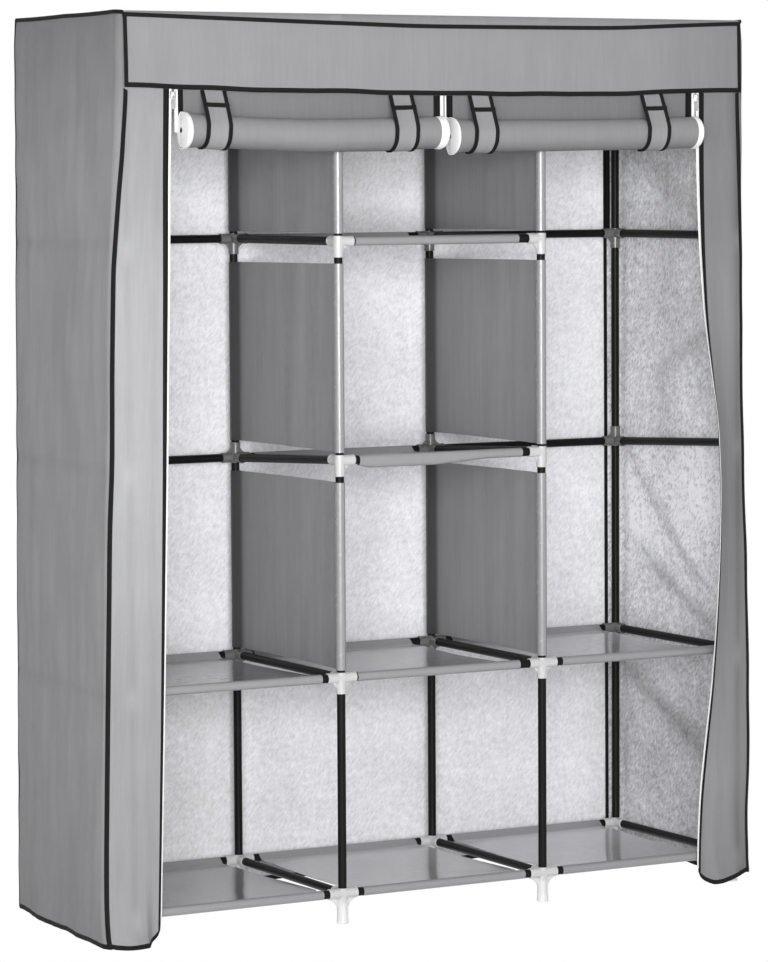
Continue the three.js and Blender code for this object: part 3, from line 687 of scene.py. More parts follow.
def repeatAlong(name, tree, paths, values, material):
    # paths: lists of (points, outward directions), in millimetres.
    mesh = bpy.data.meshes.new(name + "Path")
    points, edges, outwards = [], [], []
    for line, outward in paths:
        start = len(points)
        line = np.asarray(line, float)
        outward = np.asarray(outward, float)
        if outward.ndim == 1:
            outward = np.tile(outward, (len(line), 1))
        points += [tuple(p * mm) for p in line]
        outwards += [tuple(o) for o in outward]
        edges += [(start + i, start + i + 1) for i in range(len(line) - 1)]
    mesh.from_pydata(points, edges, [])
    attribute = mesh.attributes.new("outward", "FLOAT_VECTOR", "POINT")
    attribute.data.foreach_set("vector", np.array(outwards, np.float32).ravel())
    guide = bpy.data.objects.new(name + "Guide", mesh)
    bpy.context.scene.collection.objects.link(guide)
    modifier = guide.modifiers.new("repeat", "NODES")
    modifier.node_group = tree
    sockets = {item.name: item.identifier for item in tree.interface.items_tree if item.in_out == "INPUT"}
    for key, value in values.items():
        modifier[sockets[key]] = value
    modifier[sockets["Material"]] = material
    guide.update_tag()
    bpy.context.view_layer.update()
    evaluated = guide.evaluated_get(bpy.context.evaluated_depsgraph_get())
    made = bpy.data.meshes.new_from_object(evaluated)
    made.name = name
    for attributeName in ("outward", "along"):
        if attributeName in made.attributes:
            made.attributes.remove(made.attributes[attributeName])
    guide.modifiers.remove(modifier)
    bpy.data.objects.remove(guide)
    made.polygons.foreach_set("use_smooth", [True] * len(made.polygons))
    piece = bpy.data.objects.new(name, made)
    bpy.context.scene.collection.objects.link(piece)
    return piece


print("Repeats ready")

# The tube frame: posts, depth tubes and rails of coated steel in moulded connectors

tube = {
    "radius": 7.5,
    "wall": 0.8,
    "sides": 32,
    "railInset": 12.3,
    "postFoot": 14,
    "postTop": 3,  # a post ends this far under the middle of its top connector
    "depthGap": 0.5,
}
connector = {
    "bodyRadius": 9.2,
    "collarRadius": 9.5,
    "collarWidth": 3.2,
    "collarSlope": 0.3,
    "chamfer": 0.8,
    "capReach": 9.5,
    "bore": 7.75,
    "boreFloor": 12,
    "overcut": 2,
    "topBore": 3,  # how far the post's bore goes past the middle of a top connector, and of any other
    "throughBore": 40,
    "web": 2.6,
    "webSpan": 12,
    "webRootShare": 0.5,
    "webLipShare": 0.8,
    "webHollowShare": 0.12,
    "legWebSpan": 19,
    "legRibs": 4,
    "ribInner": 4,
    "ribReach": 0.9,
    "ribGap": 2,
    "ribSlope": 3,
    "ribStep": 1.5,
    "ribHalf": 0.8,
    "footRadius": 10.6,
    "footChamfer": 0.8,
    "footRim": 3,
    "footHeight": 12,
}
rodTee = {"half": 22, "collarWidth": 3, "collarRise": 0.3, "chamfer": 0.6}


def pipeShape(start, end):
    # One tube of the frame, open at both ends.
    start, end = np.asarray(start, float), np.asarray(end, float)
    sideways, outward = pathFrames([start, end])
    sides, outer, inner = tube["sides"], tube["radius"], tube["radius"] - tube["wall"]
    rings = []
    for radius, place in ((outer, start), (outer, end), (inner, end), (inner, start)):
        ring = circle(radius, sides)
        rings.append(place + ring[:, :1] * sideways[0] + ring[:, 1:] * outward[0])
    shape = newShape()
    shape["points"] = [tuple(p) for ring in rings for p in ring]
    length = np.linalg.norm(end - start) * mm
    for ring in range(4):
        after = (ring + 1) % 4
        for i in range(sides):
            k = (i + 1) % sides
            shape["faces"].append((ring * sides + i, ring * sides + k, after * sides + k, after * sides + i))
            corners = ((i, 0), (i + 1, 0), (i + 1, length), (i, length))
            shape["uvs"].append([(step / sides, place) for step, place in corners])
            shape["slots"].append(0)
    return facedOut(shape)


def meshFrom(shape):
    mesh = bpy.data.meshes.new("part")
    mesh.from_pydata([tuple(p) for p in shape["points"]], [], shape["faces"])
    return mesh


def shapeOf(mesh):
    shape = newShape()
    shape["points"] = [tuple(v.co) for v in mesh.vertices]
    shape["faces"] = [tuple(p.vertices) for p in mesh.polygons]
    places = [(point[0] * mm, point[2] * mm) for point in shape["points"]]
    shape["uvs"] = [[places[i] for i in face] for face in shape["faces"]]
    shape["slots"] = [0] * len(shape["faces"])
    return shape


def combined(solids, bores):
    # One closed body from overlapping solids, less the bores.
    holder = bpy.data.objects.new("combining", meshFrom(solids[0]))
    bpy.context.scene.collection.objects.link(holder)
    for operation, shapes in (("UNION", solids[1:]), ("DIFFERENCE", bores)):
        for shape in shapes:
            tool = bpy.data.objects.new("tool", meshFrom(shape))
            bpy.context.scene.collection.objects.link(tool)
            modifier = holder.modifiers.new("combine", "BOOLEAN")
            modifier.operation = operation
            modifier.solver = "MANIFOLD"
            modifier.object = tool
            bpy.context.view_layer.update()
            evaluated = holder.evaluated_get(bpy.context.evaluated_depsgraph_get())
            result = bpy.data.meshes.new_from_object(evaluated)
            holder.modifiers.remove(modifier)
            holder.data = result
            bpy.data.objects.remove(tool)
    shape = shapeOf(holder.data)
    bpy.data.objects.remove(holder)
    return shape


def barrel(direction, reach, back=0.0):
    # A round socket from the centre to its mouth, with a collar and a small chamfer.
    body, collar, edge = connector["bodyRadius"], connector["collarRadius"], connector["chamfer"]
    start = reach - connector["collarWidth"]
    outline = [(0, -back), (body - edge, -back), (body, -back + edge),
               (body, start - connector["collarSlope"]), (collar, start),
               (collar, reach - edge), (collar - edge, reach), (0, reach)]
    return latheShape(outline, (0, 0, 0), direction)


def webShape(direction, upright, span):
    # A triangular web with a hollowed edge, in the corner between an arm and the upright socket.
    direction, upright = np.asarray(direction, float), np.asarray(upright, float)
    radius = connector["bodyRadius"]
    outer = radius + span
    root, lip = radius * connector["webRootShare"], radius * connector["webLipShare"]
    hollow = span * connector["webHollowShare"]
    outline = [(root, root), (outer, root)]
    outline += [(outer - (outer - lip) * t, lip + (outer - lip) * t) for t in (0.0, 0.5, 1.0)]
    outline[3] = (outline[3][0] - hollow, outline[3][1] - hollow)
    outline.append((root, outer))
    return plateShape(outline, direction, upright, np.cross(direction, upright), connector["web"] / 2)


def pegShape(start, end):
    # What a bore takes away.
    start, end = np.asarray(start, float), np.asarray(end, float)
    span, radius = np.linalg.norm(end - start), connector["bore"]
    return latheShape([(0, 0), (radius, 0), (radius, span), (0, span)], start, end - start)


def legShapes(reach):
    # The foot of a leg and the ribs that stand round it.
    body, rim, chamfer = connector["bodyRadius"], connector["footRadius"], connector["footChamfer"]
    high = -reach + connector["footHeight"]
    outline = [(0, -reach), (rim - chamfer, -reach), (rim, -reach + chamfer),
               (rim, -reach + connector["footRim"]), (body, high), (0, high)]
    shapes = [latheShape(outline, (0, 0, 0), (0, 0, 1))]
    inner, outer, low = connector["ribInner"], body + connector["ribReach"], -reach + connector["ribGap"]
    outline = [(inner, low), (outer, low), (outer, -body - connector["ribSlope"]),
               (outer - connector["ribStep"], -body), (inner, -body)]
    for number in range(connector["legRibs"]):
        angle = math.pi / 4 + number * 2 * math.pi / connector["legRibs"]
        along = np.array([math.cos(angle), math.sin(angle), 0])
        across = np.array([-math.sin(angle), math.cos(angle), 0])
        shapes.append(plateShape(outline, along, np.array([0, 0, 1.0]), across, connector["ribHalf"]))
    return shapes


connectorKinds = {}


def connectorShape(isLeg, isTop, isFlipped, inward, sides):
    key = (isLeg, isTop, isFlipped, inward, sides)
    if key in connectorKinds:
        return connectorKinds[key]
    socketWay = 1 if isFlipped else -1
    reach = wardrobe["levelZ"][0] if isLeg else wardrobe["armReach"]
    arm, boreStart, overcut = wardrobe["armReach"], connector["boreFloor"], connector["overcut"]
    webSpan = connector["legWebSpan"] if isLeg else connector["webSpan"]
    solids = [barrel((0, 0, socketWay), reach, connector["capReach"]), barrel((0, inward, 0), arm)]
    if isLeg:
        bores = [pegShape((0, 0, -tube["postFoot"]), (0, 0, connector["capReach"] + overcut))]
        solids += legShapes(reach)
        solids.append(webShape((0, inward, 0), (0, 0, -1), webSpan))
    else:
        beyond = connector["topBore"] if isTop else connector["throughBore"]
        bores = [pegShape((0, 0, socketWay * (reach + overcut)), (0, 0, -socketWay * beyond))]
    bores.append(pegShape((0, inward * boreStart, 0), (0, inward * (arm + overcut), 0)))
    for side in sides:
        solids.append(barrel((side, 0, 0), arm))
        solids.append(webShape((side, 0, 0), (0, 0, socketWay), webSpan))
        bores.append(pegShape((side * boreStart, 0, 0), (side * (arm + overcut), 0, 0)))
    connectorKinds[key] = combined(solids, bores)
    return connectorKinds[key]


def moved(shape, offset):
    copy = dict(shape)
    copy["points"] = [tuple(np.asarray(p) + offset) for p in shape["points"]]
    return copy


def rodTeeShape(side):
    # The sleeve on a top tube with the socket of a hanging rod.
    half, width, rise = rodTee["half"], rodTee["collarWidth"], rodTee["collarRise"]
    arm, overcut, body = wardrobe["armReach"], connector["overcut"], connector["bodyRadius"]
    ends = [(0, half), (body, half), (body + rise, half - rodTee["chamfer"]), (body + rise, half - width),
            (body, half - width - rise)]
    outline = [(radius, -place) for radius, place in ends] + ends[::-1]
    solids = [latheShape(outline, (0, 0, 0), (0, 1, 0)), barrel((side, 0, 0), arm)]
    bores = [pegShape((0, -half - overcut, 0), (0, half + overcut, 0)),
             pegShape((side * connector["boreFloor"], 0, 0), (side * (arm + overcut), 0, 0))]
    return combined(solids, bores)


def armSides(row, level, post):
    sides = []
    for side in (-1, 1):
        column = post - 1 if side < 0 else post
        if 0 <= column < len(wardrobe["columns"]) and hasRail(row, level, column):
            sides.append(side)
    return tuple(sides)


rodY = (wardrobe["frontY"] + wardrobe["backY"]) / 2
for post, frameName in enumerate(wardrobe["frames"]):
    x = wardrobe["postX"][post]
    tubes, mouldings = [], []
    for row, inward in ((0, 1), (1, -1)):
        y = rowPlace(row)
        low, high = axisHeight(row, 0) - tube["postFoot"], axisHeight(row, topLevel) - tube["postTop"]
        tubes.append(pipeShape((x, y, low), (x, y, high)))
        for level in range(topLevel + 1):
            isFlipped = row == 1 and level == wardrobe["flippedLevel"]
            sides = armSides(row, level, post)
            kind = connectorShape(level == 0, level == topLevel, isFlipped, inward, sides)
            moulding = moved(kind, np.array([x, y, axisHeight(row, level)]))
            # painted shade: the back connectors above the legs get a darker copy of the plastic
            moulding["slots"] = [1 if row and level else 0] * len(moulding["faces"])
            mouldings.append(moulding)
    for level in range(topLevel + 1):
        nearY = wardrobe["frontY"] + connector["boreFloor"] + tube["depthGap"]
        farY = wardrobe["backY"] - connector["boreFloor"] - tube["depthGap"]
        tubes.append(pipeShape((x, nearY, axisHeight(0, level)), (x, farY, axisHeight(1, level))))
    rodSide = 1 if post % 2 == 0 else -1
    mouldings.append(moved(rodTeeShape(rodSide), np.array([x, rodY, wardrobe["levelZ"][topLevel]])))
    tubePiece = makePiece(frameName + "_tubes", joinShapes(tubes), [steelCoat])
    plastics = [frostedPlastic, shadedBackPlastic]
    mouldingPiece = makePiece(frameName + "_connectors", joinShapes(mouldings), plastics, sharpAngle=32)
    for piece in (tubePiece, mouldingPiece):
        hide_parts(frameName)
        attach(piece, "wardrobe")


def crossTube(name, column, y, z):
    start = wardrobe["postX"][column] + tube["railInset"]
    end = wardrobe["postX"][column + 1] - tube["railInset"]
    piece = makePiece(name + "_tube", pipeShape((start, y, z), (end, y, z)), [steelCoat])
    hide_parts(name)
    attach(piece, "wardrobe")


for level, levelName in enumerate(wardrobe["levels"]):
    for row, rowName in enumerate(("front", "back")):
        for column, columnName in enumerate(wardrobe["columns"]):
            if hasRail(row, level, column):
                name = f"rail_{levelName}_{rowName}_{columnName}"
                crossTube(name, column, rowPlace(row), axisHeight(row, level))
for column in (0, 2):
    crossTube("hanging_rod_" + wardrobe["columns"][column], column, rodY, wardrobe["levelZ"][topLevel])
print("Frame ready")

# Shelves and partitions: cloth with a sleeve at each end, sewn shut just inside the tube

shelf = {
    "places": [(0, 0), (0, 1), (0, 2), (1, 0), (1, 1), (1, 2), (2, 1), (3, 1)],  # level and column
    "inset": 40,
    "sag": 5,
    "sleeve": 8.1,
    "wrap": 118,  # how far round its tube a sleeve lies, in degrees each way from the tube's outer side
    "wrapSteps": 22,
    "seam": 15,
    "hem": 6,
    "hemShare": 0.9,
    "lift": -2.2,  # from the middle of the tubes to the sheet
    "layerGap": 0.25,
    "thickness": 0.9,
    "steps": 26,
    "columns": 30,
    "easeStart": 4,  # from the seam to where the sheet starts to move, and how far on it moves fully
    "ease": 40,
    "waves": 0.45,
    "edgeWaves": 0.7,
    "edgeCurl": 2.2,
    "shifts": {(1, 1): -9, (2, 1): -3, (3, 1): -9},  # along the rails
    "bulges": {(0, 0): 21, (0, 1): 20, (1, 0): 20},
    "droops": {(2, 1): 7.0},  # of a loose front sleeve
    "droopReach": 60,
    "paintedLight": [0.08, 0.75, 1.0],  # painted light on the free cloth, by column
    "seed": 11,
    "flatWidth": 0.33,
    "flatLength": 0.49,
}
partition = {
    "bow": 5,
    "waves": 1.3,
    "tilt": 3.5,  # of the upper edge
    "lowGap": 13.5,
    "highGap": 41,
    "thickness": 0.9,
    "rows": 34,
    "sleeveTone": -0.8,  # painted shade of the back sleeve
    "backTone": -0.6,  # painted shade of the cloth beside it, and how far that shade reaches
    "backReach": 55,
    "darkestTone": -0.85,
    "seed": 40,
    "flatWidth": 0.49,
    "flatLength": 0.325,
}


def sleevedPath(drop, sag):
    # Side view of a panel sleeved over two tubes, from the hem behind the first to the hem before the second.
    radius, seam, hem, lift = shelf["sleeve"], shelf["seam"], shelf["hem"], shelf["lift"]
    gap = shelf["thickness"] + shelf["layerGap"]
    path = [(seam + hem, lift - gap), (seam, lift - gap * shelf["hemShare"])]
    wrap = shelf["wrap"]
    turn = np.linspace(math.radians(wrap - 180), math.radians(-wrap - 180), shelf["wrapSteps"])
    path += [(radius * math.cos(a), radius * math.sin(a)) for a in turn]
    path.append((seam, lift))
    for share in np.linspace(0, 1, shelf["steps"])[1:-1]:
        across = seam + (frameDepth - 2 * seam) * share
        path.append((across, lift - drop * share - 4 * sag * share * (1 - share)))
    path.append((frameDepth - seam, lift - drop))
    turn = np.linspace(math.radians(wrap), math.radians(-wrap), shelf["wrapSteps"])
    path += [(frameDepth + radius * math.cos(a), -drop + radius * math.sin(a)) for a in turn]
    path.append((frameDepth - seam, lift - drop - gap * shelf["hemShare"]))
    path.append((frameDepth - seam - hem, lift - drop - gap))
    return np.array(path)


def freeShare(path):
    # 0 on the sleeves, 1 on the cloth that hangs freely between them.
    fromFront = path[:, 0] - shelf["seam"] - shelf["easeStart"]
    fromBack = frameDepth - shelf["seam"] - shelf["easeStart"] - path[:, 0]
    return np.clip(np.minimum(fromFront, fromBack) / shelf["ease"], 0, 1)


def makeShelf(level, column, seed):
    levelName, columnName = wardrobe["levels"][level], wardrobe["columns"][column]
    name = f"shelf_{levelName}_{columnName}"
    path = sleevedPath(axisHeight(0, level) - axisHeight(1, level), shelf["sag"])
    left, right = wardrobe["postX"][column] + shelf["inset"], wardrobe["postX"][column + 1] - shelf["inset"]
    across = np.linspace(left, right, shelf["columns"]) + shelf["shifts"].get((level, column), 0)
    along = lengths(path)
    u = across - across[0]
    share = u / u[-1]
    free = freeShare(path)[:, None]
    waves = ripples(u[None, :], along[:, None] * 0.5, seed, 7, (90, 300), shelf["waves"])
    edgeWaves = ripples(along[:, None], u[None, :] * 0.01, seed + 1, 3, (90, 200), shelf["edgeWaves"])
    edgeCurl = (np.abs(share - 0.5) * 2) ** 6
    # the bulge is fullest a quarter of the way back
    fullness = np.sin(math.pi * np.clip(path[:, :1] / frameDepth, 0, 1) ** 0.5) * free
    bulge = shelf["bulges"].get((level, column), 0) * fullness * np.clip(share * 3 - 2, 0, 1)
    near = np.clip(1 - (path[:, :1] - shelf["sleeve"]) / shelf["droopReach"], 0, 1)
    low = np.clip((6 - path[:, 1:]) / 14, 0, 1)
    hang = np.clip((0.78 - share) / 0.3, 0, 1) * np.clip(share / 0.1 + 0.3, 0, 1)
    droop = shelf["droops"].get((level, column), 0) * near * low * hang
    grid = np.zeros((len(path), len(across), 3))
    grid[:, :, 0] = across + edgeWaves * edgeCurl * free + bulge
    grid[:, :, 1] = wardrobe["frontY"] + path[:, :1]
    lift = waves * free + shelf["edgeCurl"] * edgeCurl * free - droop
    grid[:, :, 2] = axisHeight(0, level) + path[:, 1:] + lift
    shape = sheetShape(grid, u, along, shelf["thickness"], 0, 0)
    piece = makePiece(name + "_cloth", shape, [shelfTop], sharpAngle=60)
    # painted light: the free cloth of each shelf is lightened, more towards the right
    setPaintedShading(piece, np.tile(shelf["paintedLight"][column] * np.clip(free * 4, 0, 1), (1, len(across))))
    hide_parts(name)
    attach(piece, "wardrobe")


for number, (level, column) in enumerate(shelf["places"]):
    makeShelf(level, column, shelf["seed"] + number)


def makePartition(tier, post, sideName, seed):
    name = f"partition_{wardrobe['levels'][tier]}_{sideName}"
    path = sleevedPath(0, 0)
    low = wardrobe["levelZ"][tier] + partition["lowGap"]
    high = wardrobe["levelZ"][tier + 1] - partition["highGap"]
    heights = np.linspace(low, high, partition["rows"])
    along, v = lengths(path), heights - low
    share = path[:, 0] / frameDepth
    waves = ripples(along[None, :], v[:, None] * 0.12, seed, 8, (28, 120), partition["waves"])
    bow = (4 * partition["bow"] * share * (1 - share) + waves) * freeShare(path)
    tilt = partition["tilt"] * (0.65 - share) * np.clip((v / v[-1] - 0.8) / 0.2, 0, 1)[:, None]
    grid = np.zeros((len(heights), len(path), 3))
    grid[:, :, 0] = wardrobe["postX"][post] - path[None, :, 1] + bow
    grid[:, :, 1] = wardrobe["frontY"] + path[None, :, 0]
    grid[:, :, 2] = heights[:, None] + tilt
    shape = sheetShape(grid, along, v, partition["thickness"], 0, 0)
    middles = (path[:-1, 0] + path[1:, 0]) / 2
    for layer in (0, 1):
        paintColumns(shape, len(heights), len(path), layer, lambda i: middles[i] < shelf["seam"], 1)
    piece = makePiece(name + "_cloth", shape, [partitionSide, sleeveCloth], sharpAngle=60)
    # painted shade: the back sleeve and the cloth beside it are darkened towards the back
    fromBack = frameDepth - path[:, 0]
    onSleeve = np.clip((shelf["seam"] + 2 - fromBack) / 4, 0, 1)
    beside = np.exp(-np.clip(fromBack - 8, 0, frameDepth) / partition["backReach"])
    tone = partition["sleeveTone"] * onSleeve + partition["backTone"] * beside
    setPaintedShading(piece, np.tile(np.clip(tone, partition["darkestTone"], 0), (len(heights), 1)))
    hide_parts(name)
    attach(piece, "wardrobe")


for tier in (1, 2, 3):
    for number, (sideName, post) in enumerate((("left", 1), ("right", 2))):
        makePartition(tier, post, sideName, partition["seed"] + tier * 2 + number)
print("Shelves and partitions ready")

# The cover: side panels that turn into the front strips, the back panel, the top with its valance

panel = {
    "corner": 11.2,  # radius of the front corners
    "seamY": -200.3,
    "backSeamY": 243.0,
    "backCurve": 34,
    "backInset": 14,
    "backOut": 1.3,
    "backLean": {-1: 13, 1: 4},
    "sideColumns": 46,
    "cornerColumns": 6,
    "seamBack": 3,  # columns from the strip back to the seam, up to the height at which it turns
    "seamTurn": 1150,
    "seamTurnHeight": 300,
    "stripColumns": 26,
    "stripFlat": 88,
    "middleZ": 800.0,
    "rows": 172,
    "closeRows": 7,  # up to the low height and again from the high one
    "lowZ": 40,
    "highZ": 1545,
    "seeds": {-1: 3, 1: 5},
    "hemGap": 1.2,
    "hemCorner": 24,
    "hemRest": 0.8,
    "stripDrop": 14,
    "hemFlare": {-1: 26, 1: 16},
    "hemLift": {-1: 0, 1: 13},  # at the front corner
    "hemLiftReach": 34,
    "hemWaves": 2.2,
    "hemDents": 1.6,
    "waveFade": 55,  # how far up from the hem the waves, the flare and the dents reach
    "flareFade": 42,
    "dentFade": 30,
    "edgeOut": {-1: 2.5, 1: 1},  # how far the strip's binding reaches over the zip tape
    "belly": 3.6,  # how far the cloth stands out between two levels
    "creaseDepth": 1.6,
    "creaseHalf": 7,
    "standOff": 1.6,
    # slanting folds: depth, height, slope, half width and how deep
    "folds": {-1: [], 1: [
        (20, 520, 0.55, 17, 5.0), (60, 650, 1.0, 24, 4.5), (-60, 1000, -0.5, 24, 3.2),
        (60, 1290, 0.5, 26, 3.0), (70, 290, 0.55, 24, 4.0),
    ]},
    "flatWidth": 0.55,
    "flatLength": 1.58,
}
# Where the front corner seams stand at each height, and how far the strips curl forwards, in degrees
seamLines = {
    -1: [(0, 661.5), (51, 661), (215, 657.5), (390, 653.5), (529, 650), (708, 646), (827, 640), (965, 638.5),
         (1067, 636), (1159, 633.5), (1228, 630), (1294, 626), (1356, 622), (1454, 618.5), (1583, 616.3)],
    1: [(0, 631), (68, 629), (181, 634), (296, 635.5), (449, 633), (551, 631), (664, 627.5), (739, 624),
        (852, 620.5), (927, 618.5), (1064, 617), (1258, 616.3), (1583, 616.3)],
}
curlLines = {
    -1: [(0, 0), (400, 3), (800, 4), (1150, 2), (1300, 0)],
    1: [(60, 0), (160, 4), (260, 12), (360, 20), (470, 26), (600, 31), (740, 34), (850, 32), (940, 24),
        (1050, 13), (1180, 5), (1300, 1), (1380, 0)],
}


def edgeX(side, z):
    # Inner edge of a strip's cloth, on the line that the zip follows.
    return cover["halfWidth"] - cover["stripWidth"] + cover["chainFlare"][side] * (1 - z / cover["roofZ"])


def backX(side, z):
    # Outer face of a side panel at its back edge.
    lean = panel["backLean"][side] * (1 - np.asarray(z) / cover["roofZ"])
    return cover["halfWidth"] + panel["backOut"] + lean


def frontX(side, z):
    # Outer face of a side panel behind its front corner.
    return smoothed(seamLines[side], z) + panel["corner"]


def planX(side, y, z):
    # Outer face of a side panel at one depth and height.
    y, z = np.broadcast_arrays(np.asarray(y, float), np.asarray(z, float))
    share = np.clip((panel["backSeamY"] - y) / (panel["backSeamY"] - panel["seamY"] - panel["corner"]), 0, 1)
    x = backX(side, z) * (1 - share) + frontX(side, z) * share
    inFront = np.clip((panel["seamY"] + panel["corner"] - y) / panel["corner"], 0, 1)
    x = x - panel["corner"] * (1 - np.sqrt(np.clip(1 - inFront ** 2, 0, 1)))
    nearBack = np.clip((y - panel["backSeamY"] + panel["backCurve"]) / panel["backCurve"], 0, 1)
    return x - panel["backInset"] * nearBack ** 2.2


def levelCrease(z, sharp):
    # 0 where the cloth lies on the tubes of a level, 1 halfway between two levels.
    low, step = wardrobe["levelZ"][0], wardrobe["levelZ"][1] - wardrobe["levelZ"][0]
    return np.abs(np.sin(math.pi * (np.asarray(z) - low) / step)) ** sharp


def sideGrid(side):
    # Rows run up from the hem. Columns run from the back seam, round the front corner, to the strip's edge.
    bendY = panel["seamY"] + panel["corner"]
    backPart = panel["backSeamY"] - (panel["backSeamY"] - bendY) * np.linspace(0, 1, panel["sideColumns"])
    turn = np.linspace(0, math.pi / 2, panel["cornerColumns"] + 1)[1:]
    sideY = np.concatenate([backPart, bendY - panel["corner"] * np.sin(turn)])
    n = len(sideY)
    stripShare = np.linspace(0, 1, panel["stripColumns"] + 1)[1:]
    sideX = planX(side, sideY, panel["middleZ"])
    flat = np.concatenate([[0], np.cumsum(np.hypot(np.diff(sideY), np.diff(sideX)))])
    bend, edge = flat[-1], flat[-1] + panel["stripFlat"]
    flat = np.concatenate([flat, bend + stripShare * panel["stripFlat"]])
    high, close = cover["roofZ"] - cover["underRoof"], panel["closeRows"]
    base = np.concatenate([
        np.linspace(0, panel["lowZ"], close)[:-1],
        np.linspace(panel["lowZ"], panel["highZ"], panel["rows"] - 2 * (close - 1)),
        np.linspace(panel["highZ"], high, close)[1:],
    ])
    u, v = flat[None, :], base[:, None]
    # the hem rises at the front corner and rounds the lower corner of the strip
    hem = cover["hemZ"] + panel["hemGap"] + ripples(u, u * 0, panel["seeds"][side] + 20, 5, (60, 190), 1.0)
    strip = np.clip((u - bend) / (edge - bend), 0, 1)
    hem = hem * (1 - strip ** 0.4) + panel["hemRest"] * strip ** 0.4
    hem = hem + panel["hemLift"][side] * bump(u, bend, panel["hemLiftReach"])
    radius = panel["hemCorner"]
    into = np.clip((u - (edge - radius)) / radius, 0, 1)
    hem = hem + radius * (0.4 * into + 0.6 * (1 - np.sqrt(np.clip(1 - into ** 2, 0, 1))))
    # the strips end under the valance's upper seam
    top = high - panel["stripDrop"] * np.clip((u - bend + 12) / 24, 0, 1)
    z = hem + (top - hem) * (v / high)
    x, y = np.zeros_like(z), np.zeros_like(z)
    x[:, :n] = planX(side, sideY[None, :], z[:, :n])
    y[:, :n] = sideY
    start = smoothed(seamLines[side], z[:, n - 1])
    width = start - edgeX(side, z[:, -1])
    steps = np.diff(np.concatenate([[0], stripShare]))
    middle = np.concatenate([[0], stripShare[:-1]]) + steps / 2
    angle = np.radians(smoothed(curlLines[side], z[:, n - 1]))[:, None] * (0.35 + 1.25 * middle[None, :])
    x[:, n:] = start[:, None] - width[:, None] * np.cumsum(steps * np.cos(angle), axis=1)
    y[:, n:] = panel["seamY"] - width[:, None] * np.cumsum(steps * np.sin(angle), axis=1)
    grid = draped(side, np.stack([side * x, y, z], axis=2), u, strip)
    # the seam climbs from the bend on to the strip
    seamAt = n - panel["seamBack"] * (1 - np.clip((base - panel["seamTurn"]) / panel["seamTurnHeight"], 0, 1))
    return grid, flat, z, seamAt


def draped(side, grid, u, strip):
    # The cloth lies on the tubes at each level, hangs freely between them and flares at the hem.
    y, z = grid[:, :, 1], grid[:, :, 2]
    seed = panel["seeds"][side]
    normals = surfaceNormals(grid) * (-side)
    clear = cover["edgeBinding"] + 1
    away = np.clip(np.minimum(u / 30, (u[0, -1] - clear - u) / 14), 0, 1)
    away = away * np.clip((cover["roofZ"] - z) / 40, 0, 1)
    front = 1 - 1 / (1 + np.exp((u - u[0, panel["sideColumns"] - 2]) / 6))
    depth = np.clip(u / u[0, panel["sideColumns"] - 1], 0, 1)
    belly = np.sin(math.pi * depth) ** 0.7 * levelCrease(z, 0.6)
    waves = ripples(u, z * 0.35, seed, 10, (60, 300), 1.5) + ripples(u, z * 1.6, seed + 1, 8, (120, 420), 1.3)
    fine = ripples(u, z * 0.22, seed + 2, 10, (22, 70), 0.45)
    creases = sum(bump(z, height, panel["creaseHalf"]) for height in wardrobe["levelZ"][1:topLevel])
    for y0, z0, slope, wide, deep in panel["folds"][side]:
        line = z - z0 - slope * (y - y0)
        waves = waves - deep * bump(line, 0, wide) * np.clip((150 - np.abs(y - y0)) / 60, 0, 1)
    flank = panel["belly"] * belly + waves + fine - panel["creaseDepth"] * creases
    amount = (1 - front) * flank + front * (0.45 * waves + 0.6 * fine)
    lowWaves = ripples(u, z * 0.3, seed + 7, 9, (26, 90), panel["hemWaves"]) + 1.5
    lowHem = np.exp(-z / panel["waveFade"]) * lowWaves
    outward = np.clip(amount + panel["standOff"], 0, None) * away + lowHem * away * (0.35 + 0.65 * front)
    flare = panel["hemFlare"][side] * np.exp(-z / panel["flareFade"]) * front \
        * np.sin(math.pi * np.clip(strip * 0.8 + 0.2, 0, 1)) ** 0.6
    dents = ripples(u * 0.5, z, seed + 9, 7, (14, 40), panel["hemDents"])
    dents = dents * np.exp(-z / panel["dentFade"]) * front
    cloth = grid + normals * outward[:, :, None]
    cloth[:, :, 1] -= (flare + dents) * away
    return cloth


def betweenColumns(values, place):
    # One row of values for each row of the grid, read between two columns.
    low = np.floor(place).astype(int)
    share = (place - low)[:, None]
    rows = np.arange(len(values))
    return values[rows, low] * (1 - share) + values[rows, low + 1] * share


# Painted light and shade: how light or dark the strips are painted at each height, the painted shadows of
# tubes behind the cloth, painted light at pale connectors and painted shade on the sides
paintedStripShade = {
    -1: [(0, -0.04), (300, 0.02), (430, 0.0), (600, 0.16), (780, 0.27), (1100, 0.28), (1270, 0.12),
         (1400, 0.0)],
    1: [(0, -0.3), (115, -0.18), (207, -0.06), (300, -0.05), (483, -0.08), (575, -0.12), (750, -0.2),
        (900, -0.12), (1034, -0.11), (1125, -0.16), (1217, -0.28), (1309, -0.29), (1400, -0.34)],
}
paintedShading = {
    "post": 0.09,
    "postHalf": 8,
    "postHalo": 0.05,
    "haloHalf": 20,
    "connector": 0.12,
    "connectorDrop": 8,
    "connectorHalf": 13,
    "connectorHalfHeight": 20,
    "tube": 0.06,
    "tubeHalf": 9,
    "fold": 0.07,
    "flankBands": {-1: [], 1: [(690, 0.28), (230, -0.26)]},  # height and tone of bands of painted light and shade
    "bandHalf": 150,
    "edge": {-1: 0, 1: 0.2},  # painted shade of the strip beside the corner seam
    "edgeX": 588,
    "roof": 0.3,  # painted shade of the side below the roof, above the floor and behind the corner seam
    "roofZ": 1583,
    "roofHeight": 283,
    "floor": 0.1,
    "floorHeight": 260,
    "corner": 0.15,
    "cornerReach": 16,
}


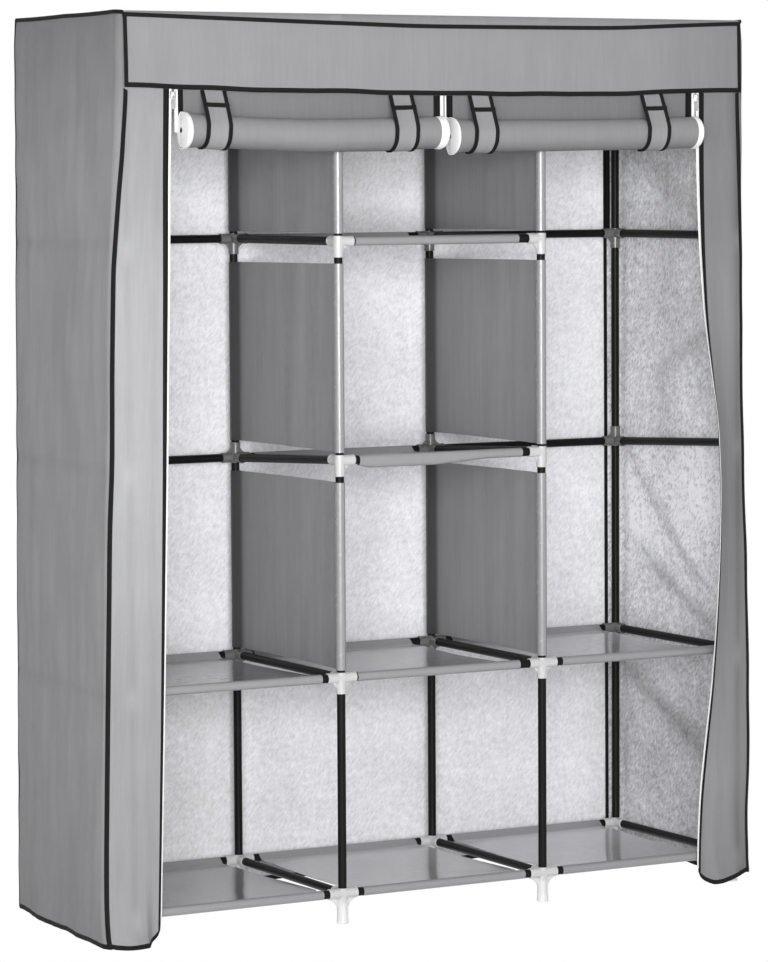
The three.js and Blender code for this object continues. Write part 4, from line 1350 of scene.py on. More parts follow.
def paintedPanelShading(side, grid, seamAt):
    # Painted shade and light: tubes behind the cloth get painted shadows and pale connectors painted light;
    # the sides get painted shade below the roof, above the floor, behind the corner and along the folds, and
    # bands of painted light and shade.
    x, y, z = np.abs(grid[:, :, 0]), grid[:, :, 1], grid[:, :, 2]
    onStrip = np.arange(grid.shape[1])[None, :] >= seamAt[:, None]
    post = wardrobe["postX"][-1]
    levels = wardrobe["levelZ"][:-1]
    halo, low, high = paintedShading["postHalo"], paintedShading["floorHeight"], paintedShading["roofHeight"]
    byPost = halo * bump(x, post, paintedShading["haloHalf"])
    byPost = byPost - (paintedShading["post"] + halo) * bump(x, post, paintedShading["postHalf"])
    places = [level - paintedShading["connectorDrop"] for level in levels]
    patches = sum(bump(z, place, paintedShading["connectorHalfHeight"]) for place in places)
    patches = patches * bump(x, post, paintedShading["connectorHalf"])
    front = smoothed(paintedStripShade[side], z) + byPost * (1 - patches) + paintedShading["connector"] * patches
    front = front - paintedShading["edge"][side] * np.clip((x - paintedShading["edgeX"]) / 26, 0, 1)
    flank = -paintedShading["tube"] * sum(bump(z, level, paintedShading["tubeHalf"]) for level in levels[1:])
    flank = flank - paintedShading["roof"] * np.clip((z - (paintedShading["roofZ"] - high)) / high, 0, 1)
    flank = flank - paintedShading["floor"] * np.clip((low - z) / low, 0, 1)
    flank = flank - paintedShading["corner"] * np.clip((panel["seamY"] + paintedShading["cornerReach"] - y) / 10, 0, 1)
    for height, tone in paintedShading["flankBands"][side]:
        flank = flank + tone * bump(z, height, paintedShading["bandHalf"])
    # painted shade along each fold
    for y0, z0, slope, wide, deep in panel["folds"][side]:
        near = np.clip((170 - np.abs(y - y0)) / 80, 0, 1)
        flank = flank - paintedShading["fold"] * deep * bump(z - z0 - slope * (y - y0), 0, wide) * near
    return np.where(onStrip, front, flank)


def bindingAlong(line, sideways, outward, width=None, thickness=None):
    width, thickness = width or cover["binding"], thickness or cover["bindingThickness"]
    return sweepShape(line, sideways, outward, flatOval(width, thickness))


# Bound seams: how far each lies outside the cloth, how thick it is, and where its stitches run
seam = {
    "cornerLift": 0.6,
    "cornerThickness": 3.4,
    "cornerTop": 12,  # above the valance's hem
    "cornerStitchInset": 2.4,
    "cornerStitchHeight": 1.75,
    "backLift": 0.5,
    "backThickness": 3.2,
    "frontLift": 0.9,
    "frontRise": 0.5,
    "frontWidth": 7.2,
    "frontStitchDrop": 2.3,
    "roofWidth": 7.0,
    "roofDrop": 2.4,
    "roofEndLift": 0.8,
    "roofBackLift": 0.4,
    "valanceEndWidth": 6.8,
    "valanceEndInset": 1.5,
}
stitchPaths = []
coilPaths = []


def stitchBeside(line, inward, outward):
    # A row of stitches along a binding, near its edge on the cloth.
    stitchPaths.append((line + inward * cover["stitchInset"] + outward * cover["stitchHeight"], outward))


for side, sideName in ((-1, "left"), (1, "right")):
    grid, flat, z, seamAt = sideGrid(side)
    heights = z[:, 0]
    shape = sheetShape(grid, flat, heights, cover["cloth"], 0, 1, side=-side)
    piece = makePiece(f"cover_{sideName}_cloth", shape, [coverOuter, coverInner], sharpAngle=70)
    # painted light and shade on the side panel and its strip
    setPaintedShading(piece, paintedPanelShading(side, grid, seamAt))
    normals = surfaceNormals(grid) * (-side)
    bindings = []
    # the front corner seam, on the bend
    tangent = unit(betweenColumns(np.gradient(grid, axis=1), seamAt))
    outward = unit(betweenColumns(normals, seamAt))
    line = betweenColumns(grid, seamAt) + outward * seam["cornerLift"]
    shown = heights < cover["valanceZ"] + seam["cornerTop"]
    thickness = seam["cornerThickness"]
    bindings.append(bindingAlong(line[shown], tangent[shown], outward[shown], thickness=thickness))
    line = line + tangent * seam["cornerStitchInset"] + outward * seam["cornerStitchHeight"]
    stitchPaths.append((line[shown], outward[shown]))
    # the back seam
    line = grid[:, 1, :] + normals[:, 1, :] * seam["backLift"]
    bindings.append(bindingAlong(line, (0, 1, 0), normals[:, 1, :], thickness=seam["backThickness"]))
    # the strip's edge, which turns into the hem
    inward = unit(grid[:, -2, :] - grid[:, -1, :])
    line = grid[:, -1, :] + inward * (cover["edgeBinding"] / 2 - panel["edgeOut"][side]) \
        - normals[:, -1, :] * cover["cloth"] / 2
    bindings.append(bindingAlong(line[1:], inward[1:], normals[1:, -1, :], width=cover["edgeBinding"]))
    stitchBeside(line[1:], inward[1:], normals[1:, -1, :])
    # the hem
    upward = unit(grid[1] - grid[0])
    line = grid[0] + upward * cover["binding"] / 2 - normals[0] * cover["cloth"] / 2
    bindings.append(bindingAlong(line, upward, normals[0]))
    stitchBeside(line, upward, normals[0])
    trim = makePiece(f"cover_{sideName}_binding", joinShapes(bindings), [blackBinding])
    # the zip on the strip's edge: its tape and its half of the coil
    zipTop = cover["valanceZ"] + cover["zipLap"]
    rows = [i for i in range(len(heights)) if cover["zipLow"] < z[i, -1] < zipTop]
    inward, outward = inward[rows], normals[rows, -1, :]
    edge = grid[rows, -1, :] - outward * cover["tapeBack"]
    tapeMiddle = edge - inward * (zipWidth - cover["tapeLap"]) / 2
    profile = flatOval(zipWidth + cover["tapeLap"], cover["tapeThickness"])
    zipTape = makePiece(f"zip_{sideName}_tape", sweepShape(tapeMiddle, inward, outward, profile), [whiteTape])
    chain = edge - inward * (cover["tapeWidth"] + cover["chainWidth"] / 2) + outward * cover["tapeBack"]
    coilPaths.append((f"zip_{sideName}_coil", chain, outward))
    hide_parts(f"cover_{sideName}")
    for part in (piece, trim, zipTape):
        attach(part, "wardrobe")

back = {
    "rows": 120,
    "columns": 84,
    "hemGap": 1,
    "edgeOut": 1.5,
    "clothGap": 1.0,
    "folds": 3,
    "foldDepth": 5,
    "allowanceInset": 5.0,  # of the seam allowance from the panel's edge, and from the cloth
    "allowanceGap": 1.6,
    "allowanceWidth": 7.5,
    "allowanceThickness": 1.6,
    "broadLow": 6,  # the broad seam binding starts this far under the upper level
    "broadPlace": (-1.0, -6.5, 0),
    "broadWidth": 8.5,
    "litBandTone": 0.04,  # painted light in a band at this height, and painted shade on the lowest part
    "litBandZ": 1350,
    "litBandHalf": 200,
    "lowShadeTone": -0.13,
    "lowZ": 500,
    "lowReach": 90,
    "flatHalf": 612,
    "flatWidth": 1.24,
    "flatLength": 1.58,
}


def backGrid():
    share = np.linspace(-1, 1, back["columns"])
    heights = np.linspace(cover["hemZ"] + back["hemGap"], cover["roofZ"] - cover["underRoof"], back["rows"])
    z = np.broadcast_to(heights[:, None], (back["rows"], back["columns"]))
    half = np.where(share < 0, backX(-1, z), backX(1, z)) - panel["backInset"] + back["edgeOut"]
    x = share[None, :] * half
    fold = back["foldDepth"] * (1 - np.cos(math.pi * back["folds"] * (share + 1))) / 2
    y = cover["backY"] + back["clothGap"] - fold * levelCrease(z, 1.6)
    waves = ripples(x, z * 0.5, 61, 10, (90, 420), 1.6) + ripples(x, z * 0.2, 62, 8, (40, 120), 0.6)
    crease = -3.0 * bump(z - 905 - 0.12 * (x - 500), 0, 9) * np.clip((x - 330) / 120, 0, 1)
    away = np.clip((1 - np.abs(share)) * 12, 0, 1)
    y = y + (np.clip(waves, -3, 2.2) + crease) * away
    return np.stack([x, y, z], axis=2), (share + 1) * back["flatHalf"], heights


grid, flat, heights = backGrid()
shape = sheetShape(grid, flat, heights, cover["cloth"], 0, 0, side=1)
backPiece = makePiece("cover_back_cloth", shape, [backCloth], sharpAngle=70)
# painted light in a band near the top, painted shade low down
shade = back["litBandTone"] * bump(heights, back["litBandZ"], back["litBandHalf"])
shade = shade + back["lowShadeTone"] * np.clip((back["lowZ"] - heights) / back["lowReach"], 0, 1)
setPaintedShading(backPiece, np.broadcast_to(shade[:, None], grid.shape[:2]))
normals = -surfaceNormals(grid)
hemLine = grid[0] + np.array([0, 0, cover["binding"] / 2]) - normals[0] * cover["cloth"] / 2
innerSeams = []
for edge, way in ((0, 1), (-1, -1)):
    # the bound seam allowance inside each back corner
    line = grid[:, edge, :] - normals[:, edge, :] * back["allowanceGap"]
    line = line + np.array([way * back["allowanceInset"], 0, 0])
    innerSeams.append(bindingAlong(line[2:-2], (1, 0, 0), -normals[2:-2, edge, :], back["allowanceWidth"],
                                   back["allowanceThickness"]))
# the broad binding of the seam behind the upper part of the back right post
broad = grid[:, -1, :][heights > wardrobe["levelZ"][3] - back["broadLow"]] + np.array(back["broadPlace"])
innerSeams.append(bindingAlong(broad, (1, 0, 0), (0, -1, 0), back["broadWidth"], back["allowanceThickness"]))
backTrim = makePiece("cover_back_binding", joinShapes(
    [bindingAlong(hemLine, (0, 0, 1), normals[0])] + innerSeams), [blackBinding])
stitchBeside(hemLine, np.array([0, 0, 1.0]), normals[0])
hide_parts("cover_back")
for part in (backPiece, backTrim):
    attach(part, "wardrobe")

roof = {
    "frontLine": [(-616, 1579.5), (-477, 1576), (-286, 1571.5), (-50, 1566.5), (235, 1567.5), (360, 1568.5),
                  (488, 1574.5), (601, 1579), (616, 1580)],
    "hemLine": [(-616, 1456.5), (-540, 1453), (-440, 1449.5), (-300, 1447.5), (0, 1444), (300, 1444.5),
                (430, 1447.5), (524, 1452.5), (616, 1453.5)],
    "lineReach": 45,
    "frontHalf": 617.6,
    "faceZ": 1584.1,
    "seamZ": 1583.0,
    "overhang": 0.4,  # past the side panels
    "foremostY": -200.2,
    "bendY": -184.0,  # where the cloth lies flat behind the front edge
    "sagStartY": -186.6,
    "backLap": 1.0,
    "dipStartY": 222,
    "dipReach": 22,
    "backDip": 3.0,
    "valanceFace": -203.5,
    "underSeam": 3,
    "hemKick": 3.0,
    "pullX": 524.5,  # the valance lies flat above the pulls of the zips
    "pullReach": 34,
    # painted shade over the whole top and valance, and more towards the right end
    "tone": -0.1,
    "rightTone": -0.16,  # painted shade of its right end besides
    "rightX": 430,
    "rightReach": 186,
    "columns": 130,
    "valanceRows": 20,
    "bendRows": 8,
    "roofRows": 52,
    "sag": 5.5,
    "flatWidth": 1.25,
    "flatLength": 0.58,
}


def roofHalf(y):
    # Half the roof's width at one depth.
    return planX(1, min(max(y, roof["foremostY"]), panel["backSeamY"]), roof["seamZ"]) + roof["overhang"]


def roofGrid():
    # Rows run up the valance, round the front edge and back over the roof.
    share = np.linspace(-1, 1, roof["columns"])
    x = share * roof["frontHalf"]
    edge = smoothed(roof["frontLine"], x, roof["lineReach"])
    low = smoothed(roof["hemLine"], x, roof["lineReach"]) + ripples(x, x * 0, 81, 5, (110, 380), 0.7)
    lines = []
    for t in np.linspace(0, 1, roof["valanceRows"]):
        z = low + (edge - roof["underSeam"] - low) * t
        wave = ripples(x, z * 0.4, 71, 9, (70, 330), 1.0) + ripples(x, z * 0.15, 72, 7, (30, 90), 0.3)
        ease = np.clip(t * 3, 0.4, 1) * np.clip((1 - t) * 5, 0, 1)
        kick = roof["hemKick"] * (1 - t) ** 1.6
        beside = 1 - bump(np.abs(x), roof["pullX"], roof["pullReach"])
        y = roof["valanceFace"] - (np.clip(wave + 0.8, 0, 4) * ease + kick) * beside
        lines.append(np.stack([x, y, z], axis=1))
    onPosts = np.clip(sum(bump(x, place, 13) for place in wardrobe["postX"]), 0, 1)
    for t in np.linspace(0, 1, roof["bendRows"] + 1)[1:]:
        # the cloth rises more steeply where the top of a post is behind it
        rise = np.sin(t * math.pi / 2) ** (0.9 - 0.75 * onPosts)
        y = roof["valanceFace"] + (roof["bendY"] - roof["valanceFace"]) * t ** 1.2
        z = edge + (roof["faceZ"] - edge) * rise
        lines.append(np.stack([share * roofHalf(y), np.full_like(x, y), z], axis=1))
    for t in np.linspace(0, 1, roof["roofRows"] + 1)[1:]:
        y = roof["bendY"] + (panel["backSeamY"] + roof["backLap"] - roof["bendY"]) * t
        x = share * roofHalf(y)
        cell = np.abs(np.sin(math.pi * (x + wardrobe["postX"][-1]) / columnPitch)) ** 0.8
        # the rods hold the cloth up in the middle of the outer columns
        depth = y - roof["sagStartY"]
        halved = np.abs(np.sin(math.pi * depth / (frameDepth / 2))) if y < wardrobe["backY"] else 0.0
        whole = math.sin(math.pi * min(max(depth / frameDepth, 0), 1))
        deep = np.where(np.abs(x) < columnPitch / 2, whole, halved)
        wave = ripples(x, np.full_like(x, y), 91, 8, (80, 300), 0.5) * cell * deep
        sag = roof["sag"] * cell * deep ** 0.8 + wave
        backDip = roof["backDip"] * np.clip((y - roof["dipStartY"]) / roof["dipReach"], 0, 1) ** 1.5 * cell
        lines.append(np.stack([x, np.full_like(x, y), roof["faceZ"] - np.clip(sag, 0, 12) - backDip], axis=1))
    grid = np.stack(lines)
    return grid, (share + 1) * roof["frontHalf"], lengths(grid[:, roof["columns"] // 2])


grid, flat, along = roofGrid()
shape = sheetShape(grid, flat, along, cover["cloth"], 0, 1, side=1)
normals = surfaceNormals(grid)
roofPiece = makePiece("cover_top_cloth", shape, [coverOuter, coverInner], sharpAngle=70)
# painted shade, darker towards the right end
toRight = np.clip((grid[0, :, 0] - roof["rightX"]) / roof["rightReach"], 0, 1)
setPaintedShading(roofPiece, np.tile(roof["tone"] + roof["rightTone"] * toRight, (len(grid), 1)))
bindings = []
lowEdge = grid[0] + np.array([0, 0, cover["binding"] / 2]) - normals[0] * cover["cloth"] / 2
bindings.append(bindingAlong(lowEdge, (0, 0, 1), normals[0]))
stitchBeside(lowEdge, np.array([0, 0, 1.0]), normals[0])
bendRow = roof["valanceRows"] - 1
frontSeam = grid[bendRow] + np.array([0, -seam["frontLift"], seam["frontRise"]])
bindings.append(bindingAlong(frontSeam, (0, 0, 1), (0, -1, 0), seam["frontWidth"], seam["cornerThickness"]))
stitchOffset = np.array([0, -seam["cornerStitchHeight"], -seam["frontStitchDrop"]])
stitchPaths.append((frontSeam + stitchOffset, np.array([0, -1.0, 0])))
for column, side in ((0, -1), (-1, 1)):
    # the seam at each end of the roof
    line = grid[bendRow:, column, :] + np.array([side * seam["roofEndLift"], 0, -seam["roofDrop"]])
    bindings.append(bindingAlong(line, (0, 0, 1), (side, 0, 0), seam["roofWidth"], seam["backThickness"]))
line = grid[-1] + np.array([0, seam["roofBackLift"], -seam["roofDrop"]])
bindings.append(bindingAlong(line, (0, 0, 1), (0, 1, 0), seam["roofWidth"], seam["backThickness"]))
for column, way in ((0, -1), (-1, 1)):
    # the valance's ends run into the corner seams
    line = grid[: bendRow + 1, column, :]
    line = line + np.array([-way * seam["valanceEndInset"], -seam["frontLift"], 0])
    bindings.append(bindingAlong(line, (1, 0, 0), (0, -1, 0), width=seam["valanceEndWidth"]))
roofTrim = makePiece("cover_top_binding", joinShapes(bindings), [blackBinding])
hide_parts("cover_top")
for part in (roofPiece, roofTrim):
    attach(part, "wardrobe")
print("Cover ready")

# The rolled doors with their bound edges and halves of the zips

door = {
    "outerX": 523.6,
    "innerX": 0.9,
    "y": -199.775,
    "top": 1462.9,
    "rollY": -213.725,
    "rollZ": 1374.9,
    "radius": 28.0,
    "backShare": 0.5,
    "pitch": 2.0,
    "turns": 12,
    "stepsPerTurn": 26,
    "fallRows": 12,
    "thickness": 0.9,
    "edgeBinding": 6,
    "edgeThickness": 1.8,
    "innerGap": 1.6,
    "outerGap": 4.6,
    "tapeLap": 3,
    "bindingOut": 0.6,
    "bindingThickness": 2.0,
    "bindingEnd": 6,  # above the middle of the roll
    "fallEnd": 2,
    "bindingRows": 18,
    "firstWoundRow": 14,
    # painted shade on the fall under the valance and under each turn of the roll
    "fallTone": -0.38,
    "underTone": -0.28,
    "columns": 44,
    "flatWidth": 0.522,
    "flatLength": 1.45,
}
# How far each roll is lifted along its length, how wide the pale band is at its ends, how far the inner turns
# stand out of the end, how the roll widens there and how far its ends are set in, each from left to right
rollLines = {
    "left": {"lift": [(-520, 10), (-430, 6), (-300, 0), (-150, 1), (0, 6)], "bands": (9, 13),
             "steps": (1.5, 9), "flare": (2.5, 0.5), "insets": (0, 7)},
    "right": {"lift": [(0, -1), (200, 0), (380, 2), (520, 6)], "bands": (5, 9), "steps": (1.5, 8),
              "flare": (4.0, 0.5), "insets": (0, 0)},
}


def rollLift(x):
    # How much higher the roll, and the strap around it, lies at one place along the doors.
    left, right = (smoothed(rollLines[sideName]["lift"], x, 40) for sideName in ("left", "right"))
    return np.where(x < 0, left, right)


def rollPoint(angle, radius):
    across = np.cos(angle) * radius
    y = np.where(across > 0, across * door["backShare"], across)
    return door["rollY"] + y, door["rollZ"] + np.sin(angle) * radius


strapCentres = {
    "strap_left_outer": -452.9,
    "strap_left_inner": -90.1,
    "strap_right_inner": 69.1,
    "strap_right_outer": 427.3,
}


def doorGrid(side, sideName):
    # Columns run from the roll's left end to its right end. Rows run down the fall and round the turns.
    line = rollLines[sideName]
    ends = sorted((side * (door["innerX"] + door["innerGap"]), side * (door["outerX"] - door["outerGap"])))
    ends = (ends[0] + line["insets"][0], ends[1] - line["insets"][1])
    width = ends[1] - ends[0]
    fromLeft = np.array([0, 1.5, 3, line["bands"][0] - 1, line["bands"][0], line["bands"][0] + 2])
    fromRight = np.array([0, 3, line["bands"][1] - 1, line["bands"][1], line["bands"][1] + 2])
    middle = np.linspace(fromLeft[-1], width - fromRight[-1], door["columns"])[1:-1]
    place = np.concatenate([fromLeft, middle, width - fromRight[::-1]])
    fall = np.linspace(door["top"], door["rollZ"] + door["fallEnd"], door["fallRows"])
    turns = np.linspace(0, door["turns"], door["turns"] * door["stepsPerTurn"] + 1)
    shares = place / width
    points = []

    def reached(turn):
        # the outer turns end short of the inner ones
        short = [step * math.exp(-turn / 1.1) for step in line["steps"]]
        return ends[0] + short[0] + (width - short[0] - short[1]) * shares

    x = reached(0)
    for z in fall:
        wave = ripples(x, np.full_like(x, z * 0.5), 35, 6, (60, 240), 0.5) * np.clip((z - 1385) / 30, 0, 1)
        points.append(np.stack([x, door["y"] + np.clip(wave, -0.6, 0.9), np.full_like(x, z)], axis=1))
    for turn in turns:
        x = reached(turn)
        squeeze = sum(bump(x, centre, 26) for name, centre in strapCentres.items() if sideName in name)
        swell = ripples(x, x * 0, 31 if side < 0 else 33, 5, (130, 420), 0.018) - 0.05 * squeeze + 0.012
        flare = line["flare"][0] * bump(place, 0, 16) + line["flare"][1] * bump(place, width, 16)
        angle = -2 * math.pi * turn
        radius = door["radius"] - door["thickness"] / 2 - door["pitch"] * turn
        lumps = ripples(x, np.full_like(x, (angle % (2 * math.pi)) * 30), 37, 8, (70, 260), 0.012)
        seamless = math.sin((turn % 1) * math.pi) ** 0.6
        scale = 1 + swell + lumps * seamless + flare / door["radius"]
        y, z = rollPoint(angle, radius * scale)
        lift = rollLift(x) * min(1, turn / 0.25)
        points.append(np.stack([x, y, z + lift], axis=1))
    grid = np.stack(points)
    return grid, place, lengths(grid[:, len(place) // 2])


def uprightLine(x, y, heights):
    return np.array([(x, y, z) for z in heights])


for side, sideName in ((-1, "left"), (1, "right")):
    grid, flat, along = doorGrid(side, sideName)
    rows, columns = grid.shape[:2]
    width = flat[-1]
    bands = rollLines[sideName]["bands"]
    isEdge = np.minimum(flat, width - flat) < min(bands)
    isWound = (np.arange(rows) > door["firstWoundRow"])[:, None]
    thick = np.where(isEdge[None, :] & isWound, door["edgeThickness"], door["thickness"])
    shape = sheetShape(grid, flat, along, thick, 0, 1, side=-1, rimSlot=3)
    middles = (flat[:-1] + flat[1:]) / 2
    isBand = (middles < bands[0]) | (middles > width - bands[1])
    isBound = np.minimum(middles, width - middles) < door["edgeBinding"]
    paintColumns(shape, rows, columns, 0, lambda i: isBound[i], 2)
    paintColumns(shape, rows, columns, 1, lambda i: isBand[i], 3)
    materials = [coverOuter, shadedRollCloth, blackBinding, whiteTape]
    piece = makePiece(f"door_{sideName}_cloth", shape, materials, sharpAngle=70)
    # painted shade: the fall is darkened, and so is the lower side of each turn
    angle = (np.arange(rows) - door["fallRows"]) * 2 * math.pi / door["stepsPerTurn"]
    under = door["underTone"] * np.clip(np.sin(angle), 0, 1) ** 1.5
    shade = np.where(np.arange(rows) < door["fallRows"], door["fallTone"], under)
    setPaintedShading(piece, np.broadcast_to(shade[:, None], (rows, columns)))
    trims, tapes = [], []
    for edge, way in ((door["innerX"], 1), (door["outerX"], -1)):
        # bound edge, tape and half of the zip between the valance and the roll
        heights = np.linspace(door["top"], door["rollZ"] + door["bindingEnd"], door["bindingRows"])
        bindingX = edge + way * (zipWidth + cover["binding"] / 2)
        line = uprightLine(side * bindingX, door["y"] - door["bindingOut"], heights)
        trims.append(bindingAlong(line, (1, 0, 0), (0, -1, 0), thickness=door["bindingThickness"]))
        tapeX = edge + way * (zipWidth + door["tapeLap"]) / 2
        line = uprightLine(side * tapeX, door["y"], heights)
        profile = flatOval(zipWidth + door["tapeLap"], cover["tapeThickness"])
        tapes.append(sweepShape(line, (1, 0, 0), (0, -1, 0), profile))
        toChain = edge + way * cover["chainWidth"] / 2 - tapeX
        line = line + np.array([side * toChain, -door["bindingOut"], 0])
        coilPaths.append((f"door_{sideName}_coil", line, np.array([0, -1.0, 0])))
    trim = makePiece(f"door_{sideName}_binding", joinShapes(trims), [blackBinding])
    zipTape = makePiece(f"door_{sideName}_zip_tape", joinShapes(tapes), [whiteTape])
    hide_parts(f"door_{sideName}")
    for part in (piece, trim, zipTape):
        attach(part, "wardrobe")
print("Doors ready")

# The straps that hold the rolls

strap = {
    "width": 48,
    "trim": 7.8,
    "shift": 4,  # to the right under the valance
    "lean": -12,  # how far a strap slants back to the left on its way down
    "thickness": 0.9,
    "frontY": -201.4,
    "backY": -197.2,
    "radius": 30.2,
    "top": 1462.9,
    "tabEnd": 1424,
    "onRollZ": 1440,
    "kneeDrop": 3,  # below the valance's hem
    "kneeRise": 2,
    "backStart": 8,  # above the middle of the roll
    "backSteps": 9,
    "tabLift": 0.9,
    "cup": 0.8,
    "trimInset": 3.4,
    "trimThickness": 2.2,
    "stitchInset": 1.6,
    "stitchHeight": 1.05,
    "columns": 11,
    "turnSteps": 40,
    "seed": 101,
    "flatWidth": 0.048,
    "flatLength": 0.33,
}


def strapPath():
    # Down behind the valance, forwards and round the roll, and up again behind it.
    radius, frontY, backY = strap["radius"], strap["frontY"], strap["backY"]
    rollY, rollZ = door["rollY"], door["rollZ"]
    knee = np.array([frontY, cover["valanceZ"] - strap["kneeDrop"]])
    toKnee = knee - np.array([rollY, rollZ])
    tangent = math.atan2(toKnee[1], toKnee[0]) + math.acos(min(1, radius / np.linalg.norm(toKnee)))
    points = [(frontY, strap["top"]), (frontY, cover["valanceZ"] + strap["kneeRise"]), tuple(knee)]
    start = np.array([rollY + math.cos(tangent) * radius, rollZ + math.sin(tangent) * radius])
    points += [tuple(knee + (start - knee) * t) for t in (0.25, 0.5, 0.75)]
    for angle in np.linspace(tangent, 2 * math.pi, strap["turnSteps"]):
        across = math.cos(angle)
        reach = backY - rollY if across > 0 else radius
        points.append((rollY + across * reach, rollZ + math.sin(angle) * radius))
    points += [(backY, z) for z in np.linspace(rollZ + strap["backStart"], strap["top"], strap["backSteps"])]
    return np.array(points)


for number, (name, centre) in enumerate(strapCentres.items()):
    path = strapPath()
    along = lengths(path)
    across = np.linspace(-strap["width"] / 2, strap["width"] / 2, strap["columns"])
    grid = np.zeros((len(path), len(across), 3))
    cup = strap["cup"] * (across / strap["width"] * 2) ** 2
    lowered = np.clip((strap["top"] - path[:, 1:]) / (strap["top"] - door["rollZ"]), 0, 1)
    grid[:, :, 0] = centre + across[None, :] + strap["shift"] + strap["lean"] * lowered
    grid[:, :, 1] = path[:, :1]
    grid[:, :, 2] = path[:, 1:] + rollLift(grid[:, :, 0]) * np.clip(lowered * 1.6, 0, 1)
    normals = -surfaceNormals(grid)
    onRoll = np.clip((strap["onRollZ"] - path[:, 1:]) / 40, 0, 1)
    ripple = ripples(across[None, :], along[:, None], strap["seed"] + number, 6, (30, 110), 0.35)
    grid += normals * ((cup[None, :] + np.clip(ripple, -0.2, 0.8)) * onRoll)[:, :, None]
    shape = sheetShape(grid, across + strap["width"] / 2, along, strap["thickness"], 0, 0, side=-1)
    piece = makePiece(name + "_cloth", shape, [strapCloth], sharpAngle=70)
    trims = []
    for column, way in ((0, 1), (-1, -1)):
        outward = normals[:, column, :]
        inset = np.array([way * strap["trimInset"], 0, 0])
        line = grid[:, column, :] + inset - outward * strap["thickness"] / 2
        trims.append(bindingAlong(line, (1, 0, 0), outward, strap["trim"], strap["trimThickness"]))
        inset = np.array([way * strap["stitchInset"], 0, 0])
        stitchPaths.append((line + inset + outward * strap["stitchHeight"], outward))
    row = int(np.argmin(np.abs(path[:30, 1] - strap["tabEnd"])))
    tabEnd = grid[row] + normals[row] * strap["tabLift"]
    trims.append(bindingAlong(tabEnd, (0, 0.35, 1), normals[row], strap["trim"], strap["trimThickness"]))
    trim = makePiece(name + "_binding", joinShapes(trims), [blackBinding])
    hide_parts(name)
    for part in (piece, trim):
        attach(part, "wardrobe")
print("Straps ready")

# Stitches and zip coils

stitches = repeatAlong("cover_stitches", stitchTree, stitchPaths, {"Spacing": 0.0042}, stitchThread)
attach(stitches, "wardrobe")
coils = {}
for name, line, outward in coilPaths:
    coils.setdefault(name, []).append((line, outward))
for name, paths in coils.items():
    coil = repeatAlong(name, coilTree, paths, {"Spacing": 0.0016}, zipCoil)
    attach(coil, "wardrobe")
print("Stitches and zips ready")

for name in ("zip_slider_left", "zip_slider_right", "zip_pull_left", "zip_pull_right"):
    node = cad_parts[name]
    node.data.materials.clear()
    node.data.materials.append(zipMetal)

# Stage, light and camera

stage = {
    "floorTone": 0.9,
    "worldTone": 1.0,
    "worldStrength": 0.24,
    "keyPower": 430,
    "fillPower": 34,
    "topPower": 30,
    "target": (0.0, 0.0, 0.8),
    "floorReach": 9000,
}


def visibleRays(tree):
    # 1 for rays from the camera, mirrors and glass, which see the white backdrop.
    rays = addNode(tree, "ShaderNodeLightPath")
    seen = maths(tree, "MAXIMUM", rays.outputs["Is Camera Ray"], rays.outputs["Is Glossy Ray"])
    return maths(tree, "MAXIMUM", seen, rays.outputs["Is Transmission Ray"])


world = bpy.data.worlds.new("studio")
bpy.context.scene.world = world
world.use_nodes = True
worldTree = world.node_tree
worldTree.nodes.clear()
lightRays = addNode(worldTree, "ShaderNodeBackground", {
    "Color": grey(stage["worldTone"]), "Strength": stage["worldStrength"],
})
whiteRays = addNode(worldTree, "ShaderNodeBackground", {"Color": grey(1.0), "Strength": 1.0})
chosen = addNode(worldTree, "ShaderNodeMixShader", {
    0: visibleRays(worldTree), 1: lightRays.outputs[0], 2: whiteRays.outputs[0],
})
addNode(worldTree, "ShaderNodeOutputWorld", {"Surface": chosen.outputs[0]})

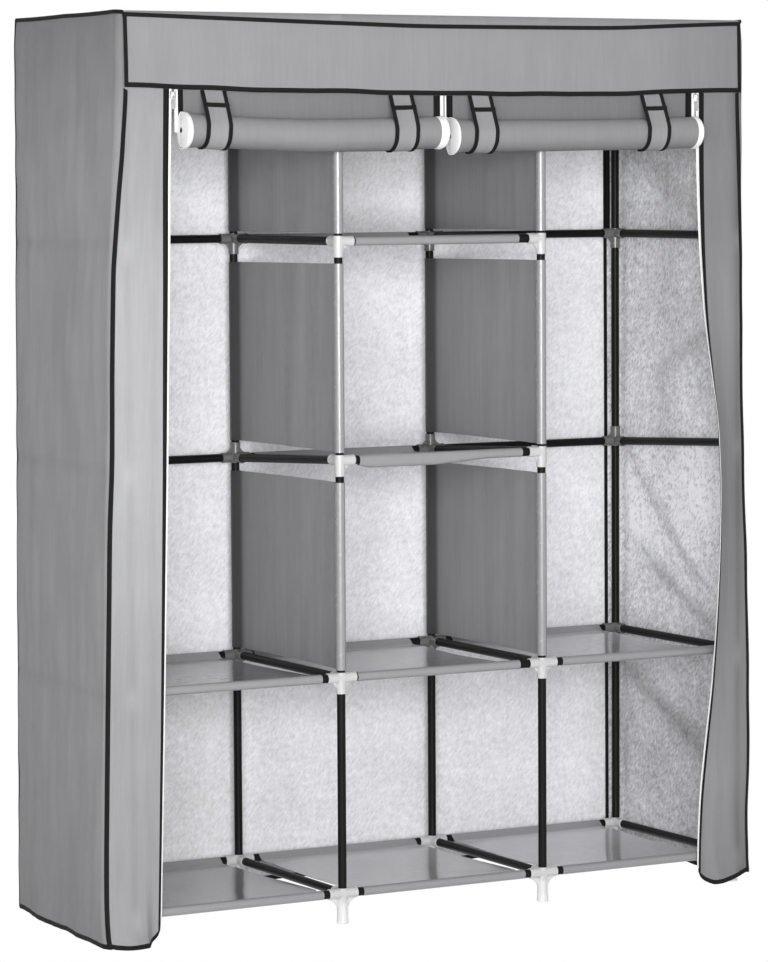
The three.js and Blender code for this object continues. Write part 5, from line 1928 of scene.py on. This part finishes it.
floorMaterial = bpy.data.materials.new("studioFloor")
floorMaterial.use_nodes = True
floorTree = floorMaterial.node_tree
floorTree.nodes.clear()
matt = addNode(floorTree, "ShaderNodeBsdfDiffuse", {"Color": grey(stage["floorTone"])})
glow = addNode(floorTree, "ShaderNodeEmission", {"Color": grey(1.0), "Strength": 1.0})
mixed = addNode(floorTree, "ShaderNodeMixShader", {
    0: visibleRays(floorTree), 1: matt.outputs[0], 2: glow.outputs[0],
})
addNode(floorTree, "ShaderNodeOutputMaterial", {"Surface": mixed.outputs[0]})
floorShape = newShape()
reach = stage["floorReach"]
floorShape["points"] = [(-reach, -reach, 0), (reach, -reach, 0), (reach, reach, 0), (-reach, reach, 0)]
floorShape["faces"], floorShape["uvs"], floorShape["slots"] = [(0, 1, 2, 3)], [[(0, 0)] * 4], [0]
floor = makePiece("floor", floorShape, [floorMaterial])
floor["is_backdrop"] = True


def addArea(name, place, width, height, power):
    light = bpy.data.lights.new(name, "AREA")
    light.shape = "RECTANGLE"
    light.size, light.size_y, light.energy = width, height, power
    lamp = bpy.data.objects.new(name, light)
    lamp.location = place
    lamp.rotation_euler = (Vector(stage["target"]) - Vector(place)).to_track_quat("-Z", "Y").to_euler()
    bpy.context.scene.collection.objects.link(lamp)


addArea("keyLight", (-2.9, -6.4, 1.4), 4.2, 2.2, stage["keyPower"])
addArea("fillLight", (-3.8, -2.6, 1.8), 2.0, 2.4, stage["fillPower"])
addArea("topLight", (0.0, 0.2, 4.2), 3.0, 3.0, stage["topPower"])

view = {
    "place": (-3472.326, -6227.096, 1308.729),
    "yaw": 29.051,
    "pitch": 4.430,
    "roll": -0.332,
    "lens": 148.366,
    "sensor": 36,
    "clipEnd": 60,
}
yaw, pitch, roll = (math.radians(view[key]) for key in ("yaw", "pitch", "roll"))
forward = Vector((math.sin(yaw) * math.cos(pitch), math.cos(yaw) * math.cos(pitch), -math.sin(pitch)))
level = Vector((math.cos(yaw), -math.sin(yaw), 0))
upward = level.cross(forward)
right = level * math.cos(roll) + upward * math.sin(roll)
above = upward * math.cos(roll) - level * math.sin(roll)
cameraData = bpy.data.cameras.new("camera")
cameraData.lens, cameraData.sensor_width = view["lens"], view["sensor"]
cameraData.clip_end = view["clipEnd"]
camera = bpy.data.objects.new("camera", cameraData)
turned = Matrix((right, above, -forward)).transposed().to_4x4()
camera.matrix_world = Matrix.Translation(Vector(view["place"]) * mm) @ turned
bpy.context.scene.collection.objects.link(camera)
bpy.context.scene.camera = camera
bpy.context.scene.view_settings.view_transform = "Standard"
print("Stage ready")

low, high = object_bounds()
{"cad": [list(cadLow), list(cadHigh)], "visual": [list(low), list(high)]}
